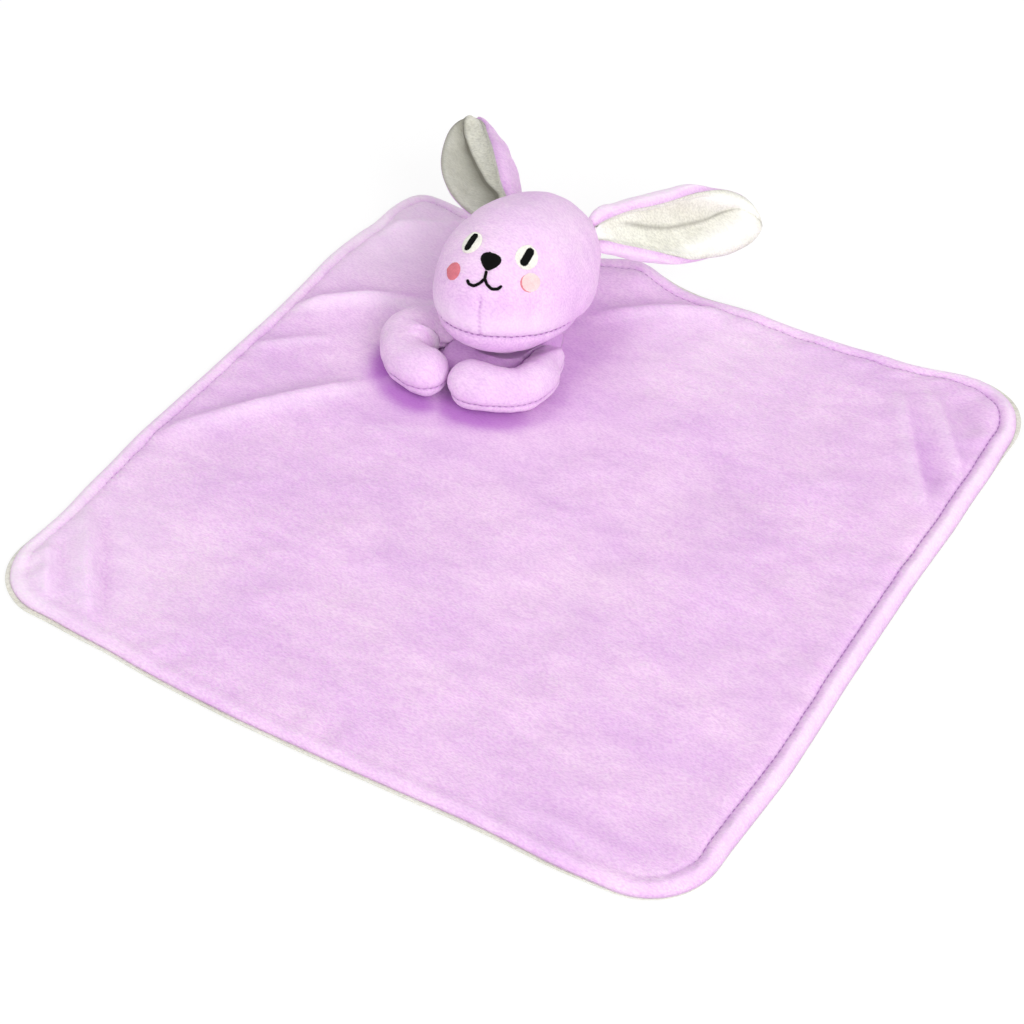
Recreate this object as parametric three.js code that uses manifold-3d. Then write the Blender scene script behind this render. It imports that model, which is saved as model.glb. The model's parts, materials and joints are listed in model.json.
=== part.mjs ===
// A lilac plush comforter blanket with a stuffed rabbit's head and arms sewn on near one corner.
// Millimetres, +Z up. The origin is the middle of the blanket's underside, which lies on z = 0.
// The rabbit faces -Y, and left and right are its own, so its left is +X.
import * as THREE from 'three';
import { mergeVertices } from 'three/addons/utils/BufferGeometryUtils.js';
import Module from 'manifold-3d';

const wasm = await Module();
wasm.setup();

// Clearances
const SEAM_GAP = 0.3; // between two pieces that are sewn or stuffed together
const SEAT_GAP = 0.5; // between the head and the torso that it rolls on

// Blanket
const BLANKET_SIDE = 350;
const CORNER_RADIUS = 32;
const BACKING_THICKNESS = 3;
const TOP_THICKNESS = 3;
const EDGE_ROLL = 3.5; // width over which each panel's edge rounds down to the hem seam
const EDGE_WALL = 0.6; // upright left at that seam
const HEM_INSET = 8; // from the edge to the topstitch
const HEM_DIP = 0.8; // depth to which the topstitch pulls the pile down
const HEM_REACH = 4; // from the topstitch to the pile's full height
const FOLD_FADE = 24; // inside the hem, over which the folds flatten out
const THREAD = 1; // diameter of the sewing thread

// Ridges in the blanket's top, each given by its distances from the two edges of one corner
const FOLDS = [
  { corner: [-1, 1], from: [10, 46], to: [58, 16], height: 6, width: 10 },
  { corner: [-1, 1], from: [8, 118], to: [66, 80], height: 6, width: 10 },
  { corner: [-1, 1], from: [16, 222], to: [58, 172], height: 5, width: 12 },
  { corner: [-1, 1], from: [150, 38], to: [206, 8], height: 5, width: 11 },
  { corner: [-1, -1], from: [10, 52], to: [48, 10], height: 4, width: 8 },
  { corner: [-1, -1], from: [22, 68], to: [66, 12], height: 4, width: 8 },
  { corner: [1, 1], from: [42, 24], to: [12, 66], height: 3, width: 9 },
  { corner: [1, 1], from: [54, 32], to: [18, 92], height: 3, width: 9 },
];

// Where the toy is sewn on, measured from the blanket's left and back edges to the head's middle
const TOY_FROM_LEFT = 120.6;
const TOY_FROM_BACK = 88.7;
const BODY_HEADING = -6; // degrees the torso and arms are turned from facing -Y
const FACE_HEADING = 8; // degrees the face is turned

// Head: a stuffed ball, longest from front to back
const HEAD_WIDTH = 70.5;
const HEAD_LENGTH = 92.5;
const HEAD_HEIGHT = 76;
const HEAD_PLUSH = 2.6; // thickness of the head's cover
const NECK_RISE = 3.7; // from the blanket's top to the lowest point of the head
const CHIN_DROP = 4; // from the head's middle down to the chin seam
const EAR_SEAM_BACK = 26; // from the head's middle back to the seam that holds the ears
const EAR_SEAM_TILT = 45; // degrees that seam leans back
const TURN_RANGE = 25; // degrees the head turns each way
const NOD_BACK = 8;
const NOD_FORWARD = 5;

// Embroidery, placed by its distance across the face and above the head's middle
const STITCH_THICKNESS = 0.5;
const EYE = { across: 13.4, up: 30.2, width: 10.6, height: 11.6 };
const PUPIL = { width: 3.8, height: 8.8, lean: 8 };
const NOSE = { across: -1, up: 28.8, width: 9.4, height: 8 };
const CHEEK = { across: 18, up: 21, width: 8.6, height: 8 };
const MOUTH = { middleUp: 23.6, cornerAcross: 8, cornerUp: 21.4, dipAcross: 4.2, dipUp: 20.2 };
const MOUTH_THREAD = 1.6;

// Ears: leaves folded along the middle, tight at the root and open towards the tip
const EAR_LENGTH = 80; // from the middle of the root to the tip
const EAR_WIDTH = 40; // laid flat
const EAR_ROOT_WIDTH = 20; // laid flat
const EAR_PLUSH = 2.4; // thickness of each of the two layers
const EAR_ROOT_RADIUS = 6; // of the ball-shaped root that the ear flops on
const EAR_FOLD = 4.5; // from the crease to where each side runs straight
const EAR_FOLD_ROOT = 75; // degrees each side is folded up
const EAR_FOLD_TIP = 22;
const EAR_WIDEST = 0.58; // share of the length at which the leaf is widest
const EAR_ROOT = new THREE.Vector3(24, 32, 6); // direction from the head's middle, left ear
const LEFT_EAR = { side: 1, along: [0.757, 0.636, -0.148], twist: 48 };
const RIGHT_EAR = { side: -1, along: [-0.506, 0.861, 0.027], twist: 0 };

// Torso, neck and arms
const TORSO_WIDTH = 42;
const TORSO_DEPTH = 48;
const TORSO_FORWARD = 9; // from the head's middle to the torso's
const TORSO_BULGE = 1.05;
const NECK_PLUG = 16; // diameter of the filling in the neck
const ARM_PLUSH = 2.6;
const ARM_ROOT_RADIUS = 5.5;
const ARM_ELBOW_RADIUS = 10.3;
const ARM_PAW_RADIUS = 11.2;
// Each arm's middle line, from its shoulder outwards, forwards and in again to the paw
const LEFT_ARM = { side: 1, shoulderBack: -11, route: [[4.4, -5], [7.4, -14], [2.4, -26], [-9.6, -34], [-19.6, -37]] };
const RIGHT_ARM = { side: -1, shoulderBack: -20, route: [[5.4, -5], [11.4, -17], [3.4, -29], [-8.6, -33], [-13.1, -33]] };

// Mesh fineness
const BLANKET_CELLS = 20;
const HEAD_SEGMENTS = 28;
const ARM_SIDES = 12;
const ARM_STEPS = 8;
const EAR_COLUMNS = 8;
const EAR_ROWS = 11;

// Values worked out from the sizes above
const HALF_SIDE = BLANKET_SIDE / 2;
const TOP_BASE = BACKING_THICKNESS + SEAM_GAP;
const TOP_LEVEL = TOP_BASE + TOP_THICKNESS;
const HEAD_MIDDLE = TOP_LEVEL + NECK_RISE + HEAD_HEIGHT / 2;
const FACE_TURN = THREE.MathUtils.degToRad(FACE_HEADING - BODY_HEADING);

// Finishes
const LILAC = { color: 0xe6c2ea, roughness: 0.95, metalness: 0 };
const GREY = { color: 0xd6d4ca, roughness: 0.95, metalness: 0 };
const FIBRE = { color: 0xf4f3ee, roughness: 1, metalness: 0 };
const LILAC_THREAD = { color: 0xb58ac0, roughness: 0.7, metalness: 0 };
const BLACK_THREAD = { color: 0x0d0c0e, roughness: 0.6, metalness: 0 };
const WHITE_THREAD = { color: 0xf7f5f0, roughness: 0.6, metalness: 0 };
const ROSE_THREAD = { color: 0xe39aac, roughness: 0.6, metalness: 0 };

// Mesh helpers

function piece(name, geometry, finish) {
  const mesh = new THREE.Mesh(geometry, new THREE.MeshStandardMaterial(finish));
  mesh.name = name;
  return mesh;
}

function meshFrom(points, triangles) {
  const geometry = new THREE.BufferGeometry();
  const flat = points.flatMap((p) => [p.x, p.y, p.z]);
  geometry.setAttribute('position', new THREE.Float32BufferAttribute(flat, 3));
  let volume = 0;
  for (const [a, b, c] of triangles) {
    volume += points[a].dot(points[b].clone().cross(points[c]));
  }
  const outward = volume > 0 ? triangles : triangles.map(([a, b, c]) => [a, c, b]);
  geometry.setIndex(outward.flat());
  return geometry;
}

function solidOf(geometry) {
  const bare = geometry.clone();
  bare.deleteAttribute('normal');
  bare.deleteAttribute('uv');
  const merged = mergeVertices(bare, 1e-5);
  return new wasm.Manifold(new wasm.Mesh({
    numProp: 3,
    vertProperties: new Float32Array(merged.attributes.position.array),
    triVerts: new Uint32Array(merged.index.array),
  }));
}

function geometryOf(solid) {
  const mesh = solid.getMesh();
  const geometry = new THREE.BufferGeometry();
  geometry.setAttribute('position', new THREE.Float32BufferAttribute(mesh.vertProperties, 3));
  geometry.setIndex([...mesh.triVerts]);
  return geometry;
}

// A block that reaches everywhere on one side of a plane, for cutting panels apart at their seams
function halfSpace(point, direction) {
  const size = 2 * BLANKET_SIDE;
  const block = new THREE.BoxGeometry(size, size, size);
  block.translate(0, 0, size / 2);
  const turn = new THREE.Quaternion().setFromUnitVectors(new THREE.Vector3(0, 0, 1), direction);
  block.applyQuaternion(turn);
  block.translate(point.x, point.y, point.z);
  return solidOf(block);
}

// Joins rings of equal count into one skin, with a fan to each end point or round in a loop
function skin(rings, start, end) {
  const count = rings[0].length;
  const points = rings.flat();
  const triangles = [];
  const looped = start === undefined;
  const bands = looped ? rings.length : rings.length - 1;
  for (let i = 0; i < bands; i += 1) {
    const next = (i + 1) % rings.length;
    for (let j = 0; j < count; j += 1) {
      const k = (j + 1) % count;
      triangles.push([i * count + j, i * count + k, next * count + k]);
      triangles.push([i * count + j, next * count + k, next * count + j]);
    }
  }
  if (!looped) {
    const last = (rings.length - 1) * count;
    points.push(start, end);
    for (let j = 0; j < count; j += 1) {
      const k = (j + 1) % count;
      triangles.push([points.length - 2, k, j]);
      triangles.push([points.length - 1, last + j, last + k]);
    }
  }
  return meshFrom(points, triangles);
}

function ringAround(centre, along, up, radius, sides) {
  const across = along.clone().cross(up).normalize();
  const rise = across.clone().cross(along).normalize();
  return Array.from({ length: sides }, (_, j) => {
    const angle = ((j + 0.5) / sides) * 2 * Math.PI;
    return centre.clone()
      .addScaledVector(across, radius * Math.cos(angle))
      .addScaledVector(rise, radius * Math.sin(angle));
  });
}

// A thread laid round in a closed loop
function threadLoop(points, ups, diameter) {
  const rings = points.map((point, i) => {
    const before = points[(i + points.length - 1) % points.length];
    const after = points[(i + 1) % points.length];
    const along = after.clone().sub(before).normalize();
    return ringAround(point, along, ups[i], diameter / 2, 4);
  });
  return skin(rings);
}

// A sheet of even thickness: surface(u, v) is its middle, for u and v from 0 to 1
function thickSheet(columns, rows, surface, low, high) {
  const step = 1e-4;
  const layers = [low, high].map((offset) => {
    const layer = [];
    for (let j = 0; j <= rows; j += 1) {
      for (let i = 0; i <= columns; i += 1) {
        const u = i / columns;
        const v = j / rows;
        const du = surface(u + step, v).sub(surface(u - step, v));
        const dv = surface(u, v + step).sub(surface(u, v - step));
        layer.push(surface(u, v).addScaledVector(du.cross(dv).normalize(), offset));
      }
    }
    return layer;
  });
  const width = columns + 1;
  const size = layers[0].length;
  const triangles = [];
  for (let j = 0; j < rows; j += 1) {
    for (let i = 0; i < columns; i += 1) {
      const a = j * width + i;
      const [b, c, d] = [a + 1, a + width + 1, a + width];
      triangles.push([a + size, b + size, c + size], [a + size, c + size, d + size]);
      triangles.push([a, c, b], [a, d, c]);
    }
  }
  const rim = [];
  for (let i = 0; i < columns; i += 1) rim.push(i);
  for (let j = 0; j < rows; j += 1) rim.push(j * width + columns);
  for (let i = columns; i > 0; i -= 1) rim.push(rows * width + i);
  for (let j = rows; j > 0; j -= 1) rim.push(j * width);
  rim.forEach((a, n) => {
    const b = rim[(n + 1) % rim.length];
    triangles.push([a, b, b + size], [a, b + size, a + size]);
  });
  return meshFrom(layers.flat(), triangles);
}

// Blanket

function smooth(low, high, value) {
  return THREE.MathUtils.smoothstep(value, low, high);
}

// Moves a point of the plain square onto the square with rounded corners
function roundCorner(x, y) {
  const size = Math.max(Math.abs(x), Math.abs(y));
  const radius = Math.max(CORNER_RADIUS - (HALF_SIDE - size), 0);
  const straight = size - radius;
  const lesser = Math.min(Math.abs(x), Math.abs(y));
  if (radius === 0 || lesser <= straight) return [x, y];
  const turn = ((lesser - straight) / radius) * (Math.PI / 4);
  const near = straight + radius * Math.cos(turn);
  const far = straight + radius * Math.sin(turn);
  const [px, py] = Math.abs(x) >= Math.abs(y) ? [near, far] : [far, near];
  return [Math.sign(x) * px, Math.sign(y) * py];
}

function foldHeight(x, y) {
  let height = 0;
  for (const fold of FOLDS) {
    const [from, to] = [fold.from, fold.to].map(([dx, dy]) => new THREE.Vector2(
      fold.corner[0] * (HALF_SIDE - dx),
      fold.corner[1] * (HALF_SIDE - dy),
    ));
    const run = to.clone().sub(from);
    const offset = new THREE.Vector2(x, y).sub(from);
    const share = THREE.MathUtils.clamp(offset.dot(run) / run.lengthSq(), 0, 1);
    const away = offset.addScaledVector(run, -share).length() / fold.width;
    height += fold.height * Math.exp(-away * away);
  }
  return height;
}

// Height of a panel's face over its base, with its edge rounded off
function edgeProfile(inset, thickness) {
  if (inset >= EDGE_ROLL) return thickness;
  const away = 1 - inset / EDGE_ROLL;
  return EDGE_WALL + (thickness - EDGE_WALL) * Math.sqrt(1 - away * away);
}

function topProfile(x, y, inset) {
  const dip = HEM_DIP * (1 - smooth(0, HEM_REACH, Math.abs(inset - HEM_INSET)));
  const folds = foldHeight(x, y) * smooth(HEM_INSET + HEM_REACH, HEM_INSET + FOLD_FADE, inset);
  return TOP_BASE + edgeProfile(inset, TOP_THICKNESS) - dip + folds;
}

function backingProfile(x, y, inset) {
  return BACKING_THICKNESS - edgeProfile(inset, BACKING_THICKNESS);
}

// A panel with one flat face, at flatLevel, and one shaped face
function blanketPanel(insets, cells, flatLevel, profile) {
  const last = insets[insets.length - 1];
  const lines = insets.map((inset) => inset - HALF_SIDE);
  for (let i = 1; i < cells; i += 1) {
    lines.push(THREE.MathUtils.lerp(last - HALF_SIDE, HALF_SIDE - last, i / cells));
  }
  lines.push(...[...insets].reverse().map((inset) => HALF_SIDE - inset));
  const width = lines.length;
  const points = [];
  for (const y of lines) {
    for (const x of lines) {
      const inset = HALF_SIDE - Math.max(Math.abs(x), Math.abs(y));
      const [px, py] = roundCorner(x, y);
      points.push(new THREE.Vector3(px, py, profile(px, py, inset)));
    }
  }
  const triangles = [];
  for (let j = 0; j < width - 1; j += 1) {
    for (let i = 0; i < width - 1; i += 1) {
      const a = j * width + i;
      triangles.push([a, a + 1, a + width + 1], [a, a + width + 1, a + width]);
    }
  }
  const rim = [];
  for (let i = 0; i < width - 1; i += 1) rim.push(i);
  for (let j = 0; j < width - 1; j += 1) rim.push(j * width + width - 1);
  for (let i = width - 1; i > 0; i -= 1) rim.push((width - 1) * width + i);
  for (let j = width - 1; j > 0; j -= 1) rim.push(j * width);
  const first = points.length;
  const outline = rim.map((index) => new THREE.Vector2(points[index].x, points[index].y));
  outline.forEach((p) => points.push(new THREE.Vector3(p.x, p.y, flatLevel)));
  rim.forEach((a, n) => {
    const m = (n + 1) % rim.length;
    triangles.push([a, first + n, first + m], [a, first + m, rim[m]]);
  });
  for (const [a, b, c] of THREE.ShapeUtils.triangulateShape(outline, [])) {
    triangles.push([first + a, first + c, first + b]);
  }
  return meshFrom(points, triangles);
}

function hemTopstitch() {
  const size = HALF_SIDE - HEM_INSET;
  const radius = CORNER_RADIUS - HEM_INSET;
  const path = new THREE.Path();
  path.absarc(size - radius, size - radius, radius, 0, Math.PI / 2);
  path.absarc(radius - size, size - radius, radius, Math.PI / 2, Math.PI);
  path.absarc(radius - size, radius - size, radius, Math.PI, 1.5 * Math.PI);
  path.absarc(size - radius, radius - size, radius, 1.5 * Math.PI, 2 * Math.PI);
  path.closePath();
  const outline = path.getPoints(6);
  outline.pop();
  const level = TOP_LEVEL - HEM_DIP + SEAM_GAP + THREAD / 2;
  const points = outline.map((p) => new THREE.Vector3(p.x, p.y, level));
  return threadLoop(points, points.map(() => new THREE.Vector3(0, 0, 1)), THREAD);
}

const toy = new THREE.Group();
toy.position.set(TOY_FROM_LEFT - HALF_SIDE, HALF_SIDE - TOY_FROM_BACK, 0);

const edgeInsets = [0, EDGE_ROLL / 3, EDGE_ROLL, HEM_INSET, HEM_INSET + HEM_REACH];
const cornerInsets = [0, EDGE_ROLL / 3, EDGE_ROLL, ...[0.4, 0.7, 1].map((s) => s * CORNER_RADIUS)];
const blanket = [
  piece('blanket_top_panel', blanketPanel(edgeInsets, BLANKET_CELLS, TOP_BASE, topProfile), LILAC),
  piece('blanket_backing_panel', blanketPanel(cornerInsets, 1, BACKING_THICKNESS, backingProfile), GREY),
  piece('hem_topstitch', hemTopstitch(), LILAC_THREAD),
];

// Head, in the face's frame, with its middle at the origin

function headBall(inward) {
  const ball = new THREE.SphereGeometry(1, HEAD_SEGMENTS, Math.round(HEAD_SEGMENTS * 0.56));
  ball.rotateX(Math.PI / 2);
  ball.scale(HEAD_WIDTH / 2 - inward, HEAD_LENGTH / 2 - inward, HEAD_HEIGHT / 2 - inward);
  return ball.rotateZ(-FACE_TURN);
}

// The head's surface in a given direction from its middle, raised by a small height
function onHead(direction, raised) {
  const radii = new THREE.Vector3(HEAD_WIDTH / 2, HEAD_LENGTH / 2, HEAD_HEIGHT / 2);
  const axis = new THREE.Vector3(0, 0, 1);
  const local = direction.clone().applyAxisAngle(axis, FACE_TURN);
  local.multiplyScalar(1 / local.clone().divide(radii).length());
  const normal = local.clone().divide(radii).divide(radii).normalize();
  const point = local.addScaledVector(normal, raised);
  return {
    point: point.applyAxisAngle(axis, -FACE_TURN),
    normal: normal.applyAxisAngle(axis, -FACE_TURN),
  };
}

// The place on the front of the face at a distance across it and above its middle
function faceSpot(across, up) {
  const [c, s] = [Math.cos(FACE_TURN), Math.sin(FACE_TURN)];
  const [a, b, h] = [HEAD_WIDTH / 2, HEAD_LENGTH / 2, HEAD_HEIGHT / 2];
  const square = (s / a) ** 2 + (c / b) ** 2;
  const linear = c * s * across * (1 / b ** 2 - 1 / a ** 2);
  const constant = (c * across / a) ** 2 + (s * across / b) ** 2 + (up / h) ** 2 - 1;
  const y = (-linear - Math.sqrt(linear ** 2 - square * constant)) / square;
  return new THREE.Vector3(across, y, up);
}

// The directions across and up the face, along its surface
function faceAxes(normal) {
  const across = new THREE.Vector3(1, 0, 0).addScaledVector(normal, -normal.x).normalize();
  return [across, normal.clone().cross(across)];
}

// An embroidered patch that follows the head: outline holds points across and up its surface
function headPatch(spot, outline, raised) {
  const [across, up] = faceAxes(onHead(spot, 0).normal);
  const lift = (p, share, height) => onHead(
    spot.clone().addScaledVector(across, p.x * share).addScaledVector(up, p.y * share),
    height,
  ).point;
  const shares = [0.5, 1];
  const under = shares.map((share) => outline.map((p) => lift(p, share, raised)));
  const over = shares.map((share) => outline.map((p) => lift(p, share, raised + STITCH_THICKNESS)));
  const middle = new THREE.Vector2();
  return skin(
    [...under, ...over.reverse()],
    lift(middle, 0, raised),
    lift(middle, 0, raised + STITCH_THICKNESS),
  );
}

function ovalOutline(width, height) {
  return new THREE.EllipseCurve(0, 0, width / 2, height / 2).getPoints(14).slice(0, -1);
}

function pupilOutline() {
  const radius = PUPIL.width / 2;
  const reach = PUPIL.height / 2 - radius;
  const shape = new THREE.Path();
  shape.absarc(0, reach, radius, 0, Math.PI);
  shape.absarc(0, -reach, radius, Math.PI, 2 * Math.PI);
  const lean = -THREE.MathUtils.degToRad(PUPIL.lean);
  return shape.getPoints(6).map((p) => p.rotateAround(new THREE.Vector2(), lean));
}

function noseOutline() {
  const [w, h] = [NOSE.width / 2, NOSE.height / 2];
  const shape = new THREE.Path();
  shape.moveTo(0, -h);
  shape.quadraticCurveTo(w, 0, w, h / 2);
  shape.quadraticCurveTo(w, h, 0, h);
  shape.quadraticCurveTo(-w, h, -w, h / 2);
  shape.quadraticCurveTo(-w, 0, 0, -h);
  return shape.getPoints(4).slice(0, -1);
}

function mouthStrand(spots) {
  const raised = SEAM_GAP + MOUTH_THREAD / 2;
  const curve = new THREE.CatmullRomCurve3(spots.map((spot) => onHead(spot, raised).point));
  const steps = 3 * (spots.length - 1);
  const rings = curve.getPoints(steps).map((point, i) => ringAround(
    onHead(point, raised).point,
    curve.getTangent(i / steps),
    onHead(point, 0).normal,
    MOUTH_THREAD / 2,
    5,
  ));
  return solidOf(skin(rings, curve.getPoint(0), curve.getPoint(1)));
}

function mouth() {
  const middle = faceSpot(NOSE.across, MOUTH.middleUp);
  const lip = [-1, 1].map((side) => [
    faceSpot(NOSE.across + side * MOUTH.cornerAcross, MOUTH.cornerUp),
    faceSpot(NOSE.across + side * MOUTH.dipAcross, MOUTH.dipUp),
  ]);
  const smile = mouthStrand([lip[0][0], lip[0][1], middle, lip[1][1], lip[1][0]]);
  const nose = onHead(faceSpot(NOSE.across, NOSE.up), 0);
  const [, up] = faceAxes(nose.normal);
  const stemTop = nose.point.addScaledVector(up, -NOSE.height / 2 - SEAM_GAP - MOUTH_THREAD / 2);
  const stem = mouthStrand([stemTop, stemTop.clone().lerp(middle, 0.5), middle]);
  return geometryOf(smile.add(stem));
}

// The head's cover is cut at the chin seam and at the tilted seam that holds the ears
function headPanels() {
  const cover = solidOf(headBall(0)).subtract(solidOf(headBall(HEAD_PLUSH)));
  const up = new THREE.Vector3(0, 0, 1);
  const tilt = THREE.MathUtils.degToRad(EAR_SEAM_TILT);
  const back = new THREE.Vector3(0, Math.cos(tilt), -Math.sin(tilt));
  const seam = new THREE.Vector3(0, EAR_SEAM_BACK, 0);
  const half = SEAM_GAP / 2;
  const upper = cover.intersect(halfSpace(new THREE.Vector3(0, 0, half - CHIN_DROP), up));
  const under = cover.intersect(halfSpace(new THREE.Vector3(0, 0, -half - CHIN_DROP), up.clone().negate()));
  const front = halfSpace(seam.clone().addScaledVector(back, -half), back.clone().negate());
  const rear = halfSpace(seam.clone().addScaledVector(back, half), back);
  return [
    piece('head_face_panel', geometryOf(upper.intersect(front)), LILAC),
    piece('head_back_panel', geometryOf(upper.intersect(rear)), LILAC),
    piece('head_under_panel', geometryOf(under), LILAC),
    piece('head_stuffing', headBall(HEAD_PLUSH + SEAM_GAP), FIBRE),
  ];
}

function chinStitching() {
  const count = 40;
  const points = [];
  const ups = [];
  for (let i = 0; i < count; i += 1) {
    const angle = (i / count) * 2 * Math.PI;
    const share = Math.sqrt(1 - (CHIN_DROP / (HEAD_HEIGHT / 2)) ** 2);
    const spot = new THREE.Vector3(
      share * (HEAD_WIDTH / 2) * Math.cos(angle),
      share * (HEAD_LENGTH / 2) * Math.sin(angle),
      -CHIN_DROP,
    ).applyAxisAngle(new THREE.Vector3(0, 0, 1), -FACE_TURN);
    const place = onHead(spot, SEAM_GAP + THREAD / 2);
    points.push(place.point);
    ups.push(place.normal);
  }
  return threadLoop(points, ups, THREAD);
}

function embroidery() {
  const pieces = [];
  const pupilRaised = 2 * SEAM_GAP + STITCH_THICKNESS;
  for (const [name, side] of [['left', 1], ['right', -1]]) {
    const eye = faceSpot(side * EYE.across, EYE.up);
    const cheek = faceSpot(side * CHEEK.across, CHEEK.up);
    const white = headPatch(eye, ovalOutline(EYE.width, EYE.height), SEAM_GAP);
    const rouge = headPatch(cheek, ovalOutline(CHEEK.width, CHEEK.height), SEAM_GAP);
    pieces.push(piece(`${name}_eye_white`, white, WHITE_THREAD));
    pieces.push(piece(`${name}_eye_pupil`, headPatch(eye, pupilOutline(), pupilRaised), BLACK_THREAD));
    pieces.push(piece(`${name}_cheek`, rouge, ROSE_THREAD));
  }
  const nose = headPatch(faceSpot(NOSE.across, NOSE.up), noseOutline(), SEAM_GAP);
  pieces.push(piece('nose_embroidery', nose, BLACK_THREAD));
  pieces.push(piece('mouth_embroidery', mouth(), BLACK_THREAD));
  return pieces;
}

// Ears: each group's origin is the middle of the root that the ear flops on, and its X is that axis

function earHalfWidth(share) {
  const [root, wide] = [EAR_ROOT_WIDTH / 2, EAR_WIDTH / 2];
  if (share < EAR_WIDEST) return root + (wide - root) * Math.sin((share / EAR_WIDEST) * (Math.PI / 2));
  const past = (share - EAR_WIDEST) / (1 - EAR_WIDEST);
  return wide * Math.sqrt(Math.max(1 - (0.985 * past) ** 2, 0));
}

// Across and towards the lining, at a distance from the crease, for sides folded up by an angle
function earSection(distance, fold) {
  const bend = EAR_FOLD / fold;
  const curved = Math.min(Math.abs(distance), EAR_FOLD);
  const straight = Math.abs(distance) - curved;
  const angle = curved / bend;
  const across = bend * Math.sin(angle) + straight * Math.cos(fold);
  return [Math.sign(distance) * across, bend * (1 - Math.cos(angle)) + straight * Math.sin(fold)];
}

function earSurface(twist) {
  const foldRoot = THREE.MathUtils.degToRad(EAR_FOLD_ROOT);
  const foldTip = THREE.MathUtils.degToRad(EAR_FOLD_TIP);
  const [, rootRise] = earSection(EAR_ROOT_WIDTH / 2, foldRoot);
  const centring = (rootRise - EAR_PLUSH) / 2;
  return (u, v) => {
    const along = THREE.MathUtils.lerp(-EAR_ROOT_RADIUS, EAR_LENGTH, v);
    const share = THREE.MathUtils.clamp(along / EAR_LENGTH, 0, 1);
    const fold = THREE.MathUtils.lerp(foldRoot, foldTip, smooth(0, EAR_WIDEST, share));
    const [across, rise] = earSection((2 * u - 1) * earHalfWidth(share), fold);
    const turn = THREE.MathUtils.degToRad(twist) * smooth(0.08, 0.5, share);
    const point = new THREE.Vector3(across, rise - centring, along);
    return point.applyAxisAngle(new THREE.Vector3(0, 0, 1), turn);
  };
}

// What lies beyond the ball-shaped root, which is cut off the ear's layers
function earRootWaste() {
  const reach = 2 * EAR_ROOT_WIDTH;
  const block = new THREE.BoxGeometry(reach, reach, reach);
  block.translate(0, 0, -reach / 2);
  const ball = new THREE.SphereGeometry(EAR_ROOT_RADIUS, 20, 12);
  return solidOf(block).subtract(solidOf(ball));
}

function ear(name, { side, along, twist }) {
  const group = new THREE.Group();
  const root = onHead(EAR_ROOT.clone().multiply(new THREE.Vector3(side, 1, 1)), EAR_ROOT_RADIUS + SEAM_GAP);
  const lengthways = new THREE.Vector3(...along).normalize();
  const hinge = new THREE.Vector3(0, 0, 1).cross(lengthways).normalize();
  const facing = lengthways.clone().cross(hinge);
  group.name = name;
  group.position.copy(root.point);
  group.setRotationFromMatrix(new THREE.Matrix4().makeBasis(hinge, facing, lengthways));
  const surface = earSurface(twist);
  const waste = earRootWaste();
  const half = SEAM_GAP / 2;
  const back = thickSheet(EAR_COLUMNS, EAR_ROWS, surface, half, half + EAR_PLUSH);
  const lining = thickSheet(EAR_COLUMNS, EAR_ROWS, surface, -half - EAR_PLUSH, -half);
  group.add(piece(`${name}_back`, geometryOf(solidOf(back).subtract(waste)), LILAC));
  group.add(piece(`${name}_lining`, geometryOf(solidOf(lining).subtract(waste)), GREY));
  return group;
}

const head = new THREE.Group();
head.name = 'head';
head.position.z = HEAD_MIDDLE;
head.rotation.z = THREE.MathUtils.degToRad(FACE_HEADING);
head.add(...headPanels(), piece('chin_stitching', chinStitching(), LILAC_THREAD), ...embroidery());
head.add(ear('left_ear', LEFT_EAR), ear('right_ear', RIGHT_EAR));

// Torso and neck, in the body's frame, with the head's middle above the origin

// The lowest that the head's cover comes over a place, however it turns and nods
function headUnderside(x, y) {
  const radii = new THREE.Vector3(HEAD_WIDTH / 2, HEAD_LENGTH / 2, HEAD_HEIGHT / 2);
  const upright = new THREE.Vector3(0, 0, 1);
  const sideways = new THREE.Vector3(Math.cos(FACE_TURN), Math.sin(FACE_TURN), 0);
  const pose = new THREE.Quaternion();
  let lowest = Infinity;
  for (const turn of [-1, -0.5, 0, 0.5, 1].map((share) => share * TURN_RANGE)) {
    for (const nod of [-NOD_BACK, 0, NOD_FORWARD]) {
      pose.setFromAxisAngle(upright, THREE.MathUtils.degToRad(turn));
      pose.multiply(new THREE.Quaternion().setFromAxisAngle(sideways, THREE.MathUtils.degToRad(nod)));
      const undo = pose.invert();
      const place = new THREE.Vector3(x, y, 0).applyQuaternion(undo).divide(radii);
      const down = new THREE.Vector3(0, 0, -1).applyQuaternion(undo).divide(radii);
      const linear = place.dot(down);
      const inside = linear ** 2 - down.lengthSq() * (place.lengthSq() - 1);
      lowest = Math.min(lowest, HEAD_MIDDLE - (Math.sqrt(Math.max(inside, 0)) - linear) / down.lengthSq());
    }
  }
  return lowest;
}

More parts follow.
